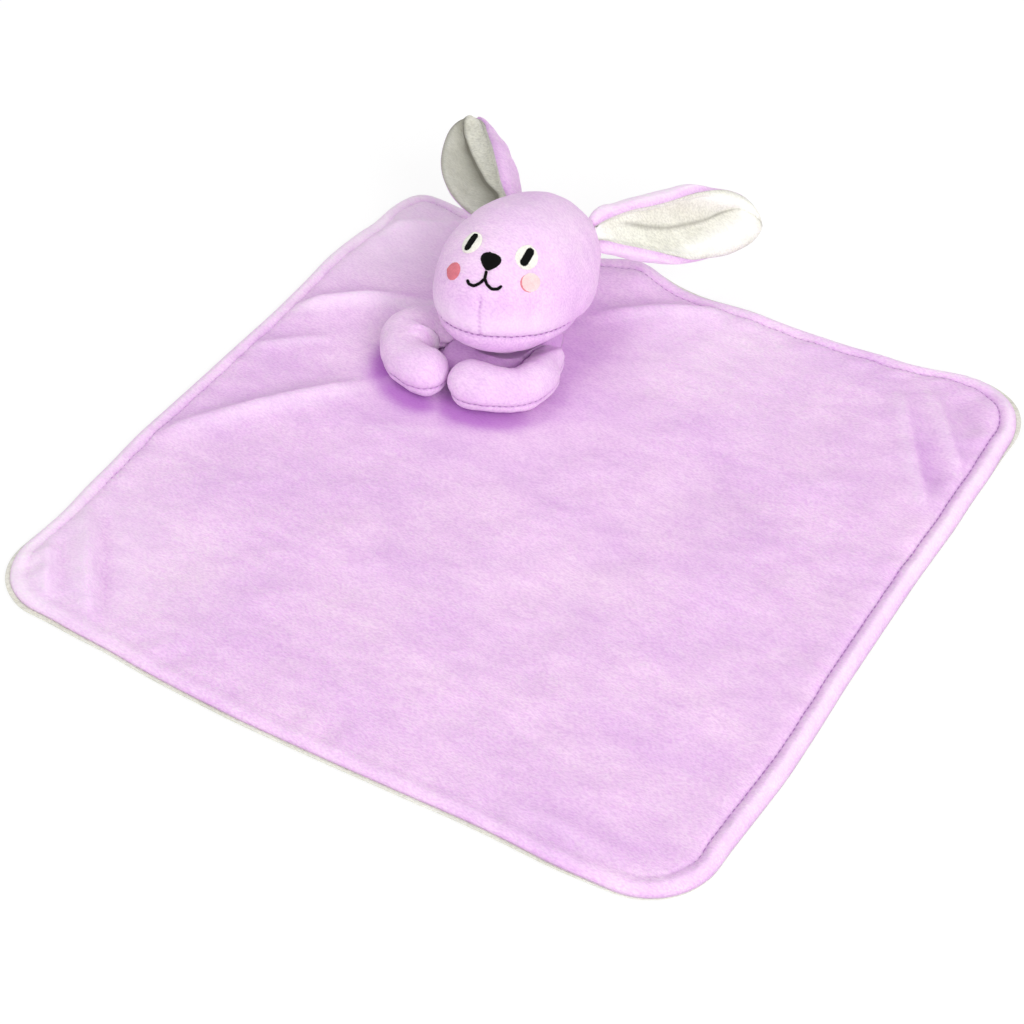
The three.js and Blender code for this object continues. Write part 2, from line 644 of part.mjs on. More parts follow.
function torso() {
  const sectors = 24;
  const foot = TOP_LEVEL + SEAM_GAP;
  const ring = (share, height) => Array.from({ length: sectors }, (_, j) => {
    const angle = (j / sectors) * 2 * Math.PI;
    const x = share * (TORSO_WIDTH / 2) * Math.cos(angle);
    const y = share * (TORSO_DEPTH / 2) * Math.sin(angle) - TORSO_FORWARD;
    return new THREE.Vector3(x, y, THREE.MathUtils.lerp(foot, headUnderside(x, y) - SEAT_GAP, height));
  });
  const rings = [ring(1, 0), ring(TORSO_BULGE, 0.45), ring(1, 1), ring(0.7, 1), ring(0.4, 1)];
  const start = new THREE.Vector3(0, -TORSO_FORWARD, foot);
  const end = new THREE.Vector3(0, -TORSO_FORWARD, headUnderside(0, -TORSO_FORWARD) - SEAT_GAP);
  const bore = new THREE.CylinderGeometry(1, 1, HEAD_HEIGHT, 24);
  const radius = NECK_PLUG / 2 + SEAM_GAP;
  bore.scale(radius, 1, radius);
  bore.rotateX(Math.PI / 2);
  return geometryOf(solidOf(skin(rings, start, end)).subtract(solidOf(bore)));
}

function neckStuffing() {
  const foot = TOP_LEVEL + SEAM_GAP;
  const radius = NECK_PLUG / 2;
  const roof = (r) => Math.min(headUnderside(r, 0), headUnderside(0, r), headUnderside(0, -r)) - SEAT_GAP;
  const profile = [
    new THREE.Vector2(0, foot),
    new THREE.Vector2(radius, foot),
    ...[1, 0.66, 0.33, 0].map((share) => new THREE.Vector2(share * radius, roof(share * radius))),
  ];
  const plug = new THREE.LatheGeometry(profile, 20);
  return plug.rotateX(Math.PI / 2);
}

// Arms: each group's origin is the middle of the round shoulder that the arm swings on

function armSkin(route, inward) {
  const radii = [ARM_ROOT_RADIUS, ARM_ELBOW_RADIUS, ARM_PAW_RADIUS];
  const radiusAt = (share) => {
    const part = share < 0.5 ? smooth(0, 0.5, share) : smooth(0.5, 1, share);
    const [from, to] = share < 0.5 ? radii : radii.slice(1);
    return THREE.MathUtils.lerp(from, to, part) - inward;
  };
  const line = new THREE.CatmullRomCurve3([[0, 0], ...route].map(([x, y]) => new THREE.Vector3(x, y, 0)));
  const centreAt = (share) => {
    const point = line.getPointAt(share);
    point.z = radiusAt(share) + inward - ARM_ROOT_RADIUS;
    return point;
  };
  const up = new THREE.Vector3(0, 0, 1);
  const ends = [0, 1].map((share) => ({
    centre: centreAt(share),
    along: line.getTangentAt(share),
    radius: radiusAt(share),
  }));
  const cap = ({ centre, along, radius }, angles) => angles.map((angle) => ringAround(
    centre.clone().addScaledVector(along, radius * Math.sin(angle)),
    along,
    up,
    radius * Math.cos(angle),
    ARM_SIDES,
  ));
  const rings = [...cap(ends[0], [-1.05, -0.52])];
  for (let i = 0; i <= ARM_STEPS; i += 1) {
    const share = i / ARM_STEPS;
    rings.push(ringAround(centreAt(share), line.getTangentAt(share), up, radiusAt(share), ARM_SIDES));
  }
  rings.push(...cap(ends[1], [0.52, 1.05]));
  const tips = ends.map(({ centre, along, radius }, i) => (
    centre.clone().addScaledVector(along, (2 * i - 1) * radius)));
  return skin(rings, tips[0], tips[1]);
}

function arm(name, { side, shoulderBack, route }) {
  const group = new THREE.Group();
  group.name = name;
  const out = TORSO_BULGE * (TORSO_WIDTH / 2) + SEAM_GAP + ARM_ROOT_RADIUS;
  group.position.set(side * out, shoulderBack, TOP_LEVEL + SEAM_GAP + ARM_ROOT_RADIUS);
  const ownRoute = route.map(([x, y]) => [side * x, y]);
  const cover = solidOf(armSkin(ownRoute, 0)).subtract(solidOf(armSkin(ownRoute, ARM_PLUSH)));
  const up = new THREE.Vector3(0, 0, 1);
  const seamRise = ARM_ELBOW_RADIUS - ARM_ROOT_RADIUS;
  const upper = halfSpace(new THREE.Vector3(0, 0, seamRise + SEAM_GAP / 2), up);
  const lower = halfSpace(new THREE.Vector3(0, 0, seamRise - SEAM_GAP / 2), up.clone().negate());
  group.add(piece(`${name}_upper_panel`, geometryOf(cover.intersect(upper)), LILAC));
  group.add(piece(`${name}_lower_panel`, geometryOf(cover.intersect(lower)), LILAC));
  group.add(piece(`${name}_stuffing`, armSkin(ownRoute, ARM_PLUSH + SEAM_GAP), FIBRE));
  return group;
}

const body = new THREE.Group();
body.name = 'body';
body.rotation.z = THREE.MathUtils.degToRad(BODY_HEADING);
body.add(piece('torso', torso(), LILAC), piece('neck_stuffing', neckStuffing(), FIBRE));
body.add(arm('left_arm', LEFT_ARM), arm('right_arm', RIGHT_ARM));

toy.add(head, body);
const part = new THREE.Group();
part.name = 'comforter';
part.add(...blanket, toy);

export default part;
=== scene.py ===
"""Looks of the plush comforter: a lilac blanket with a stuffed rabbit sewn on near one corner.

Lengths inside the functions are millimetres in the frame of the solids: +Z is up, the rabbit faces -Y
and left and right are its own. They become metres when a mesh is made. Settings, threads, lamps and
the camera are in metres.
"""

import json
import math

import bmesh
import bpy
import numpy as np
from bpy.props import FloatProperty, FloatVectorProperty, PointerProperty
from bpy.types import Operator, Panel, PropertyGroup
from mathutils import Matrix, Vector
from mathutils.bvhtree import BVHTree


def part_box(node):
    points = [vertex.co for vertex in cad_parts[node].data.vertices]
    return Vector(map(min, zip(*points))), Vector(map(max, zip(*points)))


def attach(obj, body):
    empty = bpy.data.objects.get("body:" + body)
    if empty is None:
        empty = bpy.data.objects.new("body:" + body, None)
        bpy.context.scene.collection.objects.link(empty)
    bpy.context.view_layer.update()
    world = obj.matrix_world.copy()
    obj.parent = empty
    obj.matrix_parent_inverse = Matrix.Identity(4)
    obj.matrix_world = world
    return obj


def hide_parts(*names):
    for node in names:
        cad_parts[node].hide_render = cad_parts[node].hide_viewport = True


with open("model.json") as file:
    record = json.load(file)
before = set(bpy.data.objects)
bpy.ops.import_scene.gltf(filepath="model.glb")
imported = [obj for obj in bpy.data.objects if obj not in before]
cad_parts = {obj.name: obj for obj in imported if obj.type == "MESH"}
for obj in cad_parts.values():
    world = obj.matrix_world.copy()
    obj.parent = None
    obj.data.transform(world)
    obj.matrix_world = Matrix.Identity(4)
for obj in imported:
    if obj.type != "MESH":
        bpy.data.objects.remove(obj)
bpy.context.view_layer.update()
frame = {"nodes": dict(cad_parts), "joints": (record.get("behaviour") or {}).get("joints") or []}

bl_info = {
    "name": "Plush comforter",
    "version": (1, 0, 0),
    "blender": (4, 5, 0),
    "location": "View3D > Sidebar > Comforter",
    "description": "Builds the blanket, the stuffed rabbit, its embroidery and stitching, and a studio",
    "category": "Object",
}

MM = 0.001
JOINTS = {joint["name"]: joint for joint in frame["joints"]}
TOP_LEVEL = 6.3
SEAM_LEVEL = 3.15
BODY_HEADING = math.radians(-6)
FACE_HEADING = math.radians(8)


def srgb(red, green, blue):
    """A colour given by its screen values, 0 to 255, as linear light."""
    steps = np.array([red, green, blue]) / 255
    linear = np.where(steps <= 0.04045, steps / 12.92, ((steps + 0.055) / 1.055) ** 2.4)
    return tuple(float(x) for x in linear)


def length(name, description, default):
    """A property that holds a length in metres."""
    return FloatProperty(name=name, description=description, default=default, unit="LENGTH", precision=5)


def colour(name, description, red, green, blue):
    """A property that holds a colour, given by its screen values."""
    return FloatVectorProperty(
        name=name,
        description=description,
        default=srgb(red, green, blue),
        subtype="COLOR",
        size=3,
        min=0,
        max=1,
    )


def angle(name, description, degrees):
    """A property that holds an angle."""
    return FloatProperty(name=name, description=description, default=math.radians(degrees), unit="ROTATION")


class BlanketSizes(PropertyGroup):
    """Sizes of the blanket and its hem."""

    side: length("Side", "Length of one side of the blanket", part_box("blanket_backing_panel")[1].x * 2)
    corner: length("Corner radius", "Radius of the blanket's round corners", 0.032)
    hem: length("Hem inset", "From the blanket's edge to its topstitch", 0.008)
    roll: length("Edge roll", "Width over which the edge rounds down to the seam", 0.0048)
    stitch: length("Stitch", "Length of one stitch of the topstitch", 0.0027)
    spacing: length("Stitch spacing", "From one stitch to the next", 0.0034)
    thread: length("Thread", "Thickness of the sewing thread", 0.0007)


class ToySizes(PropertyGroup):
    """Sizes of the stuffed rabbit."""

    head_width: length("Head width", "Width of the head", 0.0705)
    head_length: length("Head length", "Length of the head from front to back", 0.0925)
    head_height: length("Head height", "Height of the head", 0.076)
    cover: length("Cover", "Thickness of the plush cover", 0.0024)
    ear_plush: length("Ear plush", "Thickness of each of an ear's two layers", 0.0024)
    shoulder: length("Shoulder radius", "Radius of an arm at the shoulder", 0.0086)
    shoulder_spread: length("Shoulder spread", "How much wider than tall an arm is at the shoulder", 0.0042)
    elbow: length("Elbow radius", "Radius of an arm at the elbow", 0.0105)
    paw: length("Paw radius", "Radius of an arm at the paw", 0.0115)
    satin: length("Satin thread", "Thickness of the embroidery thread", 0.00042)
    mouth: length("Mouth line", "Width of the embroidered mouth", 0.0015)


class Finishes(PropertyGroup):
    """Colours of the cloth and threads."""

    lilac: colour("Lilac", "Lilac plush", 231, 195, 235)
    # Pale lilac: the tone of the random brushed patches, and, whitened, the painted light on the lilac plush
    lilac_pale_and_painted_light: colour("Pale lilac", "Lilac plush where the pile is brushed towards the light", 242, 212, 241)
    # Deep lilac: the tint of the pile's grain, and the painted shade in creases, seams and round the toy
    lilac_pile_and_painted_shade: colour("Deep lilac", "Lilac plush in its creases", 170, 90, 190)
    grey: colour("Grey", "Pale grey plush", 225, 224, 212)
    # Pale grey: the tone of the random brushed patches, and, whitened, the painted light on the grey plush
    grey_pale_and_painted_light: colour("Pale grey", "Grey plush where the pile is brushed towards the light", 243, 243, 234)
    # Deep grey: the tint of the pile's grain, and the painted shade in the ears' linings and the backing's
    # edge
    grey_pile_and_painted_shade: colour("Deep grey", "Grey plush in its creases", 120, 118, 108)
    fibre: colour("Filling", "Loose polyester filling", 245, 243, 238)
    thread: colour("Sewing thread", "Thread of the hem and the seams", 176, 124, 190)
    black: colour("Black thread", "Thread of the pupils, nose and mouth", 3, 3, 3)
    white: colour("White thread", "Thread of the eyes", 250, 248, 240)
    rose: colour("Rose thread", "Thread of the right cheek", 226, 130, 143)
    pink: colour("Pale pink thread", "Thread of the left cheek", 253, 226, 226)


class StudioSettings(PropertyGroup):
    """Camera and light."""

    azimuth: angle("Azimuth", "Angle of the camera round the blanket", 31.4331)
    elevation: angle("Elevation", "Angle of the camera above the floor", 42.9624)
    roll: angle("Roll", "Tilt of the camera's picture", -0.467)
    distance: length("Distance", "From the camera to the middle of the blanket", 1.08904)
    lens: FloatProperty(name="Lens", description="Focal length in millimetres", default=85.02)
    key: FloatProperty(name="Key light", description="Power of the key light", default=62.0, unit="POWER")
    fill: FloatProperty(name="Fill light", description="Power of the fill light", default=14.0, unit="POWER")
    sky: FloatProperty(name="Sky", description="Strength of the even light from all round", default=0.63)
    floor: colour("Floor", "Colour of the floor", 244, 244, 244)


# Numbers


def smooth(low, high, value):
    """A smooth step from 0 at low to 1 at high."""
    share = np.clip((np.asarray(value, float) - low) / (high - low), 0, 1)
    return share * share * (3 - 2 * share)


def bell(value, middle, width):
    """A soft bump of height 1."""
    return np.exp(-(((value - middle) / width) ** 2))


def unit(ways):
    """Directions with length 1."""
    return ways / np.linalg.norm(ways, axis=-1, keepdims=True)


def waviness(points, wave, seed):
    """Smooth unevenness of about one unit, with bumps of about that wavelength."""
    rng = np.random.default_rng(seed)
    points = np.asarray(points, float)
    total = np.zeros(len(points))
    count = 10
    for _ in range(count):
        way = rng.normal(size=points.shape[1])
        way *= 2 * math.pi * rng.uniform(0.7, 1.4) / (wave * np.linalg.norm(way))
        total += np.cos(points @ way + rng.uniform(0, 2 * math.pi))
    return total / math.sqrt(count / 2)


def round_waves(run, turns, seed):
    """Unevenness along a closed hem: run goes from 0 to 4, and turns are the waves in one round."""
    rng = np.random.default_rng(seed)
    total = np.zeros(len(run))
    for count in turns:
        total += np.cos(2 * math.pi * (count * run / 4 + rng.uniform()))
    return total / math.sqrt(len(turns) / 2)


def at_zero(flat):
    """Places seen from above as points at height zero."""
    return np.column_stack([flat, np.zeros(len(flat))])


def turned(points, heading):
    """Points turned round the upright axis."""
    c, s = math.cos(heading), math.sin(heading)
    return np.asarray(points, float) @ np.array([[c, s, 0], [-s, c, 0], [0, 0, 1]])


def pivot(joint):
    """The place of a joint."""
    return np.array(JOINTS[joint]["pos_m"]) / MM


def joint_turn(joint, degrees):
    """The turn of a joint by an angle."""
    return np.array(Matrix.Rotation(math.radians(degrees), 3, Vector(JOINTS[joint]["axis"])))


def swung(points, joint, degrees):
    """Points after the turn of a joint by an angle."""
    return (points - pivot(joint)) @ joint_turn(joint, degrees).T + pivot(joint)


HEAD_MIDDLE = pivot("head_nod")


# Meshes


def finish_of(name):
    """The material made for a named finish."""
    return bpy.data.materials[name + "_finish"]


def placed(name, data):
    """A new object in the scene."""
    obj = bpy.data.objects.new(name, data)
    bpy.context.scene.collection.objects.link(obj)
    return obj


def outward(points, faces):
    """The faces of a closed shell, turned so that they point outwards."""
    triangles = np.array([(f[0], f[k], f[k + 1]) for f in faces for k in range(1, len(f) - 1)])
    a, b, c = (points[triangles[:, k]] for k in range(3))
    volume = np.einsum("ij,ij->i", a, np.cross(b, c)).sum()
    return [f[::-1] for f in faces] if volume < 0 else faces


def piece(name, points, faces, finish, crease=None, closed=True):
    """A mesh object at the origin, with its place in its mesh."""
    points = np.asarray(points, float)
    faces = [tuple(int(i) for i in f) for f in faces]
    if closed:
        faces = outward(points, faces)
    mesh = bpy.data.meshes.new(name)
    mesh.from_pydata((points * MM).tolist(), [], faces)
    mesh.validate()
    mesh.polygons.foreach_set("use_smooth", [True] * len(mesh.polygons))
    mesh.materials.append(finish_of(finish))
    # The painted shading is kept as a point attribute, which the plush finish reads.
    if crease is not None:
        depth = mesh.attributes.new("crease", "FLOAT", "POINT")
        depth.data.foreach_set("value", np.asarray(crease, np.float32))
    return placed(name, mesh)


def settle(obj, body, slot, *nodes):
    """Puts a piece on its body and hides the solids that it stands for; the finish given is not used."""
    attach(obj, body)
    if nodes:
        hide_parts(*nodes)


def baked(obj):
    """The object with its modifiers turned into plain mesh."""
    depsgraph = bpy.context.evaluated_depsgraph_get()
    mesh = bpy.data.meshes.new_from_object(obj.evaluated_get(depsgraph), depsgraph=depsgraph)
    plain = obj.data
    obj.modifiers.clear()
    obj.data = mesh
    mesh.name = obj.name
    bpy.data.meshes.remove(plain)
    if not mesh.polygons:
        raise RuntimeError(obj.name + " came out empty")
    return obj


def joined(first, second):
    """One object from two."""
    mesh = bmesh.new()
    mesh.from_mesh(first.data)
    mesh.from_mesh(second.data)
    mesh.to_mesh(first.data)
    mesh.free()
    bpy.data.objects.remove(second)
    return first


def grid_faces(rows, columns, looped=False):
    """Quads of a grid of points, row by row; looped joins the last column to the first."""
    wide = columns if looped else columns - 1
    j, i = np.meshgrid(np.arange(rows - 1) * columns, np.arange(wide), indexing="ij")
    k = (i + 1) % columns
    return np.stack([j + i, j + k, j + columns + k, j + columns + i], -1).reshape(-1, 4)


def capped_tube(rows, columns):
    """Faces of a tube of rings; the two points after them close the first ring and the last."""
    tip = rows * columns
    last = tip - columns
    faces = grid_faces(rows, columns, True).tolist()
    for k in range(columns):
        n = (k + 1) % columns
        faces += [(n, k, tip), (last + k, last + n, tip + 1)]
    return faces


def half_shell(points, faces, place, way):
    """The part of a skin on one side of a flat cut."""
    shell = bmesh.new()
    corners = [shell.verts.new(p) for p in points]
    for f in faces:
        shell.faces.new([corners[i] for i in f])
    everything = shell.verts[:] + shell.edges[:] + shell.faces[:]
    bmesh.ops.bisect_plane(shell, geom=everything, plane_co=place, plane_no=way, clear_inner=True, dist=0.02)
    shell.verts.index_update()
    kept = np.array([v.co for v in shell.verts])
    sides = [tuple(v.index for v in f.verts) for f in shell.faces]
    shell.free()
    return kept, sides


def thickened(outer, faces, inner):
    """A closed wall between an open skin and the same skin moved inwards."""
    count = len(outer)
    edges = dict.fromkeys((a, b) for f in faces for a, b in zip(f, f[1:] + f[:1]))
    walls = [(b, a, a + count, b + count) for a, b in edges if (b, a) not in edges]
    lining = [tuple(i + count for i in f[::-1]) for f in faces]
    return np.vstack([outer, inner]), [*faces, *lining, *walls]


# Nodes


def feed(tree, target, values):
    """Fills a node's inputs, given by name or place: sockets are linked, values are set."""
    for key, value in values.items():
        if isinstance(value, bpy.types.NodeSocket):
            tree.links.new(value, target.inputs[key])
        else:
            target.inputs[key].default_value = value


def new_node(tree, kind, values=None, **options):
    """A new node with its options and its inputs."""
    made = tree.nodes.new(kind)
    for option, choice in options.items():
        setattr(made, option, choice)
    feed(tree, made, values or {})
    return made


def reckoned(tree, operation, first, second):
    """The result of a sum on two values."""
    return new_node(tree, "ShaderNodeMath", {0: first, 1: second}, operation=operation).outputs["Value"]


# Stitches and threads


def thread_line(name, lines, finish):
    """An object of edges alone: each line is its points and whether it closes on itself."""
    points = []
    edges = []
    for line, looped in lines:
        spots = range(len(points), len(points) + len(line))
        points.extend((np.asarray(line) * MM).tolist())
        edges.extend(zip(spots, spots[1:]))
        if looped:
            edges.append((spots[-1], spots[0]))
    mesh = bpy.data.meshes.new(name)
    mesh.from_pydata(points, edges, [])
    mesh.materials.append(finish_of(finish))
    return placed(name, mesh)


def new_tree(name, sizes):
    """An empty tree for lines, with named sizes and a material, and its inputs."""
    tree = bpy.data.node_groups.new(name, "GeometryNodeTree")
    kinds = {"Geometry": "NodeSocketGeometry", "Material": "NodeSocketMaterial"}
    for label in ("Geometry", *sizes, "Material"):
        tree.interface.new_socket(label, in_out="INPUT", socket_type=kinds.get(label, "NodeSocketFloat"))
    tree.interface.new_socket("Geometry", in_out="OUTPUT", socket_type="NodeSocketGeometry")
    return tree, new_node(tree, "NodeGroupInput").outputs


def close_tree(tree, enter, geometry):
    """Ends a tree: real geometry, smooth faces and the material."""
    real = new_node(tree, "GeometryNodeRealizeInstances", {"Geometry": geometry})
    even = new_node(tree, "GeometryNodeSetShadeSmooth", {"Geometry": real.outputs["Geometry"]})
    coat = {"Geometry": even.outputs["Geometry"], "Material": enter["Material"]}
    coated = new_node(tree, "GeometryNodeSetMaterial", coat)
    new_node(tree, "NodeGroupOutput", {"Geometry": coated.outputs["Geometry"]})
    return tree


def stitch_tree():
    """Single stitches laid end to end along each line."""
    if "sewn_stitches" in bpy.data.node_groups:
        return bpy.data.node_groups["sewn_stitches"]
    tree, enter = new_tree("sewn_stitches", ["Spacing", "Length", "Thickness"])
    line = new_node(tree, "GeometryNodeMeshToCurve", {"Mesh": enter["Geometry"]})
    gaps = {"Curve": line.outputs["Curve"], "Length": enter["Spacing"]}
    spots = new_node(tree, "GeometryNodeCurveToPoints", gaps, mode="LENGTH").outputs
    stitch = new_node(tree, "GeometryNodeMeshIcoSphere", {"Radius": 0.5, "Subdivisions": 2})
    measures = {"X": enter["Thickness"], "Y": enter["Thickness"], "Z": enter["Length"]}
    shape = new_node(tree, "ShaderNodeCombineXYZ", measures)
    laid = {"Instance": stitch.outputs["Mesh"], "Scale": shape.outputs["Vector"]}
    laid.update({"Points": spots["Points"], "Rotation": spots["Rotation"]})
    row = new_node(tree, "GeometryNodeInstanceOnPoints", laid)
    return close_tree(tree, enter, row.outputs["Instances"])


def thread_tree():
    """A round thread along each line."""
    if "laid_threads" in bpy.data.node_groups:
        return bpy.data.node_groups["laid_threads"]
    tree, enter = new_tree("laid_threads", ["Thickness"])
    line = new_node(tree, "GeometryNodeMeshToCurve", {"Mesh": enter["Geometry"]})
    half = reckoned(tree, "MULTIPLY", enter["Thickness"], 0.5)
    ring = new_node(tree, "GeometryNodeCurvePrimitiveCircle", {"Resolution": 6, "Radius": half})
    laid = {"Curve": line.outputs["Curve"], "Profile Curve": ring.outputs["Curve"], "Fill Caps": True}
    thread = new_node(tree, "GeometryNodeCurveToMesh", laid)
    return close_tree(tree, enter, thread.outputs["Mesh"])


def sewn(name, lines, finish, tree, **sizes):
    """Runs a tree along lines and keeps the result as one mesh."""
    obj = thread_line(name, lines, finish)
    run = obj.modifiers.new(tree.name, "NODES")
    run.node_group = tree
    values = {"Material": finish_of(finish), **sizes}
    for socket in tree.interface.items_tree:
        if socket.in_out == "INPUT" and socket.name in values:
            run[socket.identifier] = values[socket.name]
    return baked(obj)


def stitched(name, lines, spacing, stitch, thread):
    """Stitches of lilac thread along lines."""
    return sewn(name, lines, "lilac_thread", stitch_tree(), Spacing=spacing, Length=stitch, Thickness=thread)


def threaded(name, lines, finish, thread):
    """Threads along lines."""
    return sewn(name, lines, finish, thread_tree(), Thickness=thread)


# Finishes

SHEEN_ROUGHNESS = 0.45
FLOOR_GLOW = 1.06
FLOOR_GLOW_SHARE = 0.72


def blank_finish(name, roughness, sheen, specular=0.2):
    """The tree and the shader of a new material."""
    material = bpy.data.materials.new(name + "_finish")
    material.use_nodes = True
    tree = material.node_tree
    shader = tree.nodes["Principled BSDF"]
    feed(tree, shader, {"Roughness": roughness, "Specular IOR Level": specular})
    feed(tree, shader, {"Sheen Weight": sheen, "Sheen Roughness": SHEEN_ROUGHNESS})
    return tree, shader


def grain(tree, size, detail=2.0, stretch=(1, 1, 1), turn=0.0):
    """A cloudy pattern whose patches are about that size in millimetres."""
    place = new_node(tree, "ShaderNodeTexCoord").outputs["Object"]
    mapped = {"Vector": place, "Scale": stretch, "Rotation": (0, 0, turn)}
    place = new_node(tree, "ShaderNodeMapping", mapped).outputs["Vector"]
    cloud = {"Vector": place, "Scale": 1 / (size * MM), "Detail": detail}
    return new_node(tree, "ShaderNodeTexNoise", cloud).outputs["Fac"]


def graded(tree, value, stops):
    """Colours along a value: stops are pairs of place and colour."""
    ramp = new_node(tree, "ShaderNodeValToRGB", {"Fac": value})
    marks = ramp.color_ramp.elements
    while len(marks) < len(stops):
        marks.new(0.5)
    for mark, (place, shade) in zip(marks, stops):
        mark.position = place
        mark.color = (*shade, 1)
    return ramp.outputs["Color"]


def toned(tree, pattern, base, dark, end):
    """A base colour that a pattern darkens in places, down to a share of itself."""
    return graded(tree, pattern, [(0.3, tuple(dark * x for x in base)), (end, base)])


def mixed(tree, blend, factor, first, second):
    """Two colours mixed; each may be a socket or a fixed colour."""
    mix = new_node(tree, "ShaderNodeMix", data_type="RGBA", blend_type=blend)
    places = [k for k, socket in enumerate(mix.inputs) if socket.type == "RGBA"]
    ends = [(*c, 1) if isinstance(c, tuple) else c for c in (first, second)]
    feed(tree, mix, dict(zip([0, *places], [factor, *ends])))
    return [s for s in mix.outputs if s.type == "RGBA"][0]


def raised(tree, shader, height, strength, distance):
    """Bumps the surface by a height pattern; distance in millimetres."""
    bump = {"Strength": strength, "Distance": distance * MM, "Height": height}
    earlier = shader.inputs["Normal"].links
    if earlier:
        bump["Normal"] = earlier[0].from_socket
    feed(tree, shader, {"Normal": new_node(tree, "ShaderNodeBump", bump).outputs["Normal"]})


def looked_at(tree):
    """1 for rays that show a surface, straight or in a gloss or a glass, and 0 for those that light it."""
    rays = new_node(tree, "ShaderNodeLightPath").outputs
    shown = reckoned(tree, "MAXIMUM", rays["Is Camera Ray"], rays["Is Glossy Ray"])
    return reckoned(tree, "MAXIMUM", shown, rays["Is Transmission Ray"])


def plush(name, base, pale, deep):
    """Short plush: brushed patches and a fine pile, with painted shade mixed in from a point attribute above
    0 and painted light below 0.
    """
    tree, shader = blank_finish(name, 0.95, 0.22)
    glow = {"Weight": 0.35, "Radius": tuple(b**2 for b in base), "Scale": 6 * MM}
    feed(tree, shader, {"Subsurface " + key: value for key, value in glow.items()})
    patches = grain(tree, 55, 4, (1, 1.5, 1), 0.6)
    middle = tuple((a + b) / 2 for a, b in zip(base, pale))
    brushed = graded(tree, patches, [(0.3, base), (0.5, middle), (0.7, pale)])
    faint, strong = (tuple(1 - k * (1 - d / b) for d, b in zip(deep, base)) for k in (0.12, 0.27))
    strokes = graded(tree, grain(tree, 9, 4, (0.6, 1.55, 1), 0.75), [(0.36, faint), (0.64, (1, 1, 1))])
    tufts = grain(tree, 1.05, 2, (0.6, 1.5, 1), 0.75)
    pile = graded(tree, tufts, [(0.34, strong), (0.6, (1, 1, 1))])
    shade = mixed(tree, "MULTIPLY", 1.0, brushed, strokes)
    shade = mixed(tree, "MULTIPLY", 0.9, shade, pile)
    # The point attribute carries painted shading: above 0 it mixes in the painted shade colour, below 0 a
    # whitened pale colour as painted light.
    depth = new_node(tree, "ShaderNodeAttribute", attribute_name="crease").outputs["Fac"]
    shade = mixed(tree, "MIX", depth, shade, deep)
    tips = tuple(1 - 0.4 * (1 - x) for x in pale)
    shade = mixed(tree, "MIX", reckoned(tree, "MULTIPLY", depth, -1), shade, tips)
    feed(tree, shader, {"Base Color": shade, "Sheen Tint": (*pale, 1)})
    raised(tree, shader, strokes, 0.25, 0.5)
    raised(tree, shader, tufts, 0.55, 0.45)


def sewing_thread(name, base):
    """Twisted sewing thread."""
    tree, shader = blank_finish(name, 0.7, 0.15)
    strands = grain(tree, 0.35)
    feed(tree, shader, {"Base Color": toned(tree, strands, base, 0.72, 0.7)})
    raised(tree, shader, strands, 0.4, 0.15)


def satin(name, base, gloss):
    """Shiny embroidery thread."""
    tree, shader = blank_finish(name, gloss, 0, 0.15)
    fibres = grain(tree, 0.28)
    soft = graded(tree, grain(tree, 2.2, turn=0.3), [(0.35, (0.9, 0.9, 0.9)), (0.65, (1, 1, 1))])
    shade = mixed(tree, "MULTIPLY", 1.0, toned(tree, fibres, base, 0.82, 0.65), soft)
    feed(tree, shader, {"Base Color": shade})
    raised(tree, shader, fibres, 0.3, 0.12)


def filling(name, base):
    """Loose curly fibre."""
    tree, shader = blank_finish(name, 1, 0.3)
    curls = grain(tree, 1.6, 4)
    feed(tree, shader, {"Base Color": toned(tree, curls, base, 0.8, 0.65)})
    raised(tree, shader, curls, 0.7, 0.8)


def floor_finish(name, base):
    """A pale floor that looks white and keeps the shadow."""
    tree, shader = blank_finish(name, 0.9, 0, 0)
    feed(tree, shader, {"Base Color": toned(tree, grain(tree, 40), base, 0.995, 0.7)})
    glow = new_node(tree, "ShaderNodeEmission", {"Strength": FLOOR_GLOW}).outputs["Emission"]
    share = reckoned(tree, "MULTIPLY", looked_at(tree), FLOOR_GLOW_SHARE)
    blend = new_node(tree, "ShaderNodeMixShader", {0: share, 1: shader.outputs["BSDF"], 2: glow})
    feed(tree, tree.nodes["Material Output"], {"Surface": blend.outputs["Shader"]})


# Blanket

BLANKET_RINGS = 100
# Half of the gap between the two layers at their seam, and how far the topstitch stands on the cloth
SEAM_GAP = 0.15
THREAD_LIFT = 0.15
# How far from the edge the rings have round corners, and where the outward direction starts to fan out
CORNER_DEPTH = 24
FAN_DEPTH = 90
# Width over which the backing's lower edge is rounded
BACKING_ROLL = 3.5
# Width of the band along the edge that its waves lift
EDGE_BAND = 34
# Middle and reach of the place that the toy covers, where the cloth lies flat
TOY_PLACE = np.array([-55, 66])
TOY_REACH = np.array([66, 62])
# Distances from the blanket's edge at which its grid has a ring, close together at the hem
HEM_RINGS = [
    0, 0.3, 0.75, 1.3, 1.95, 2.65, 3.4, 4.15, 4.9, 5.6, 6.3, 6.9, 7.45, 8, 8.55, 9.1, 9.75, 10.5,
    11.3, 12.2, 13.2, 14.3, 15.5, 16.9, 18.4, 20, 21.8, 23.8,
]
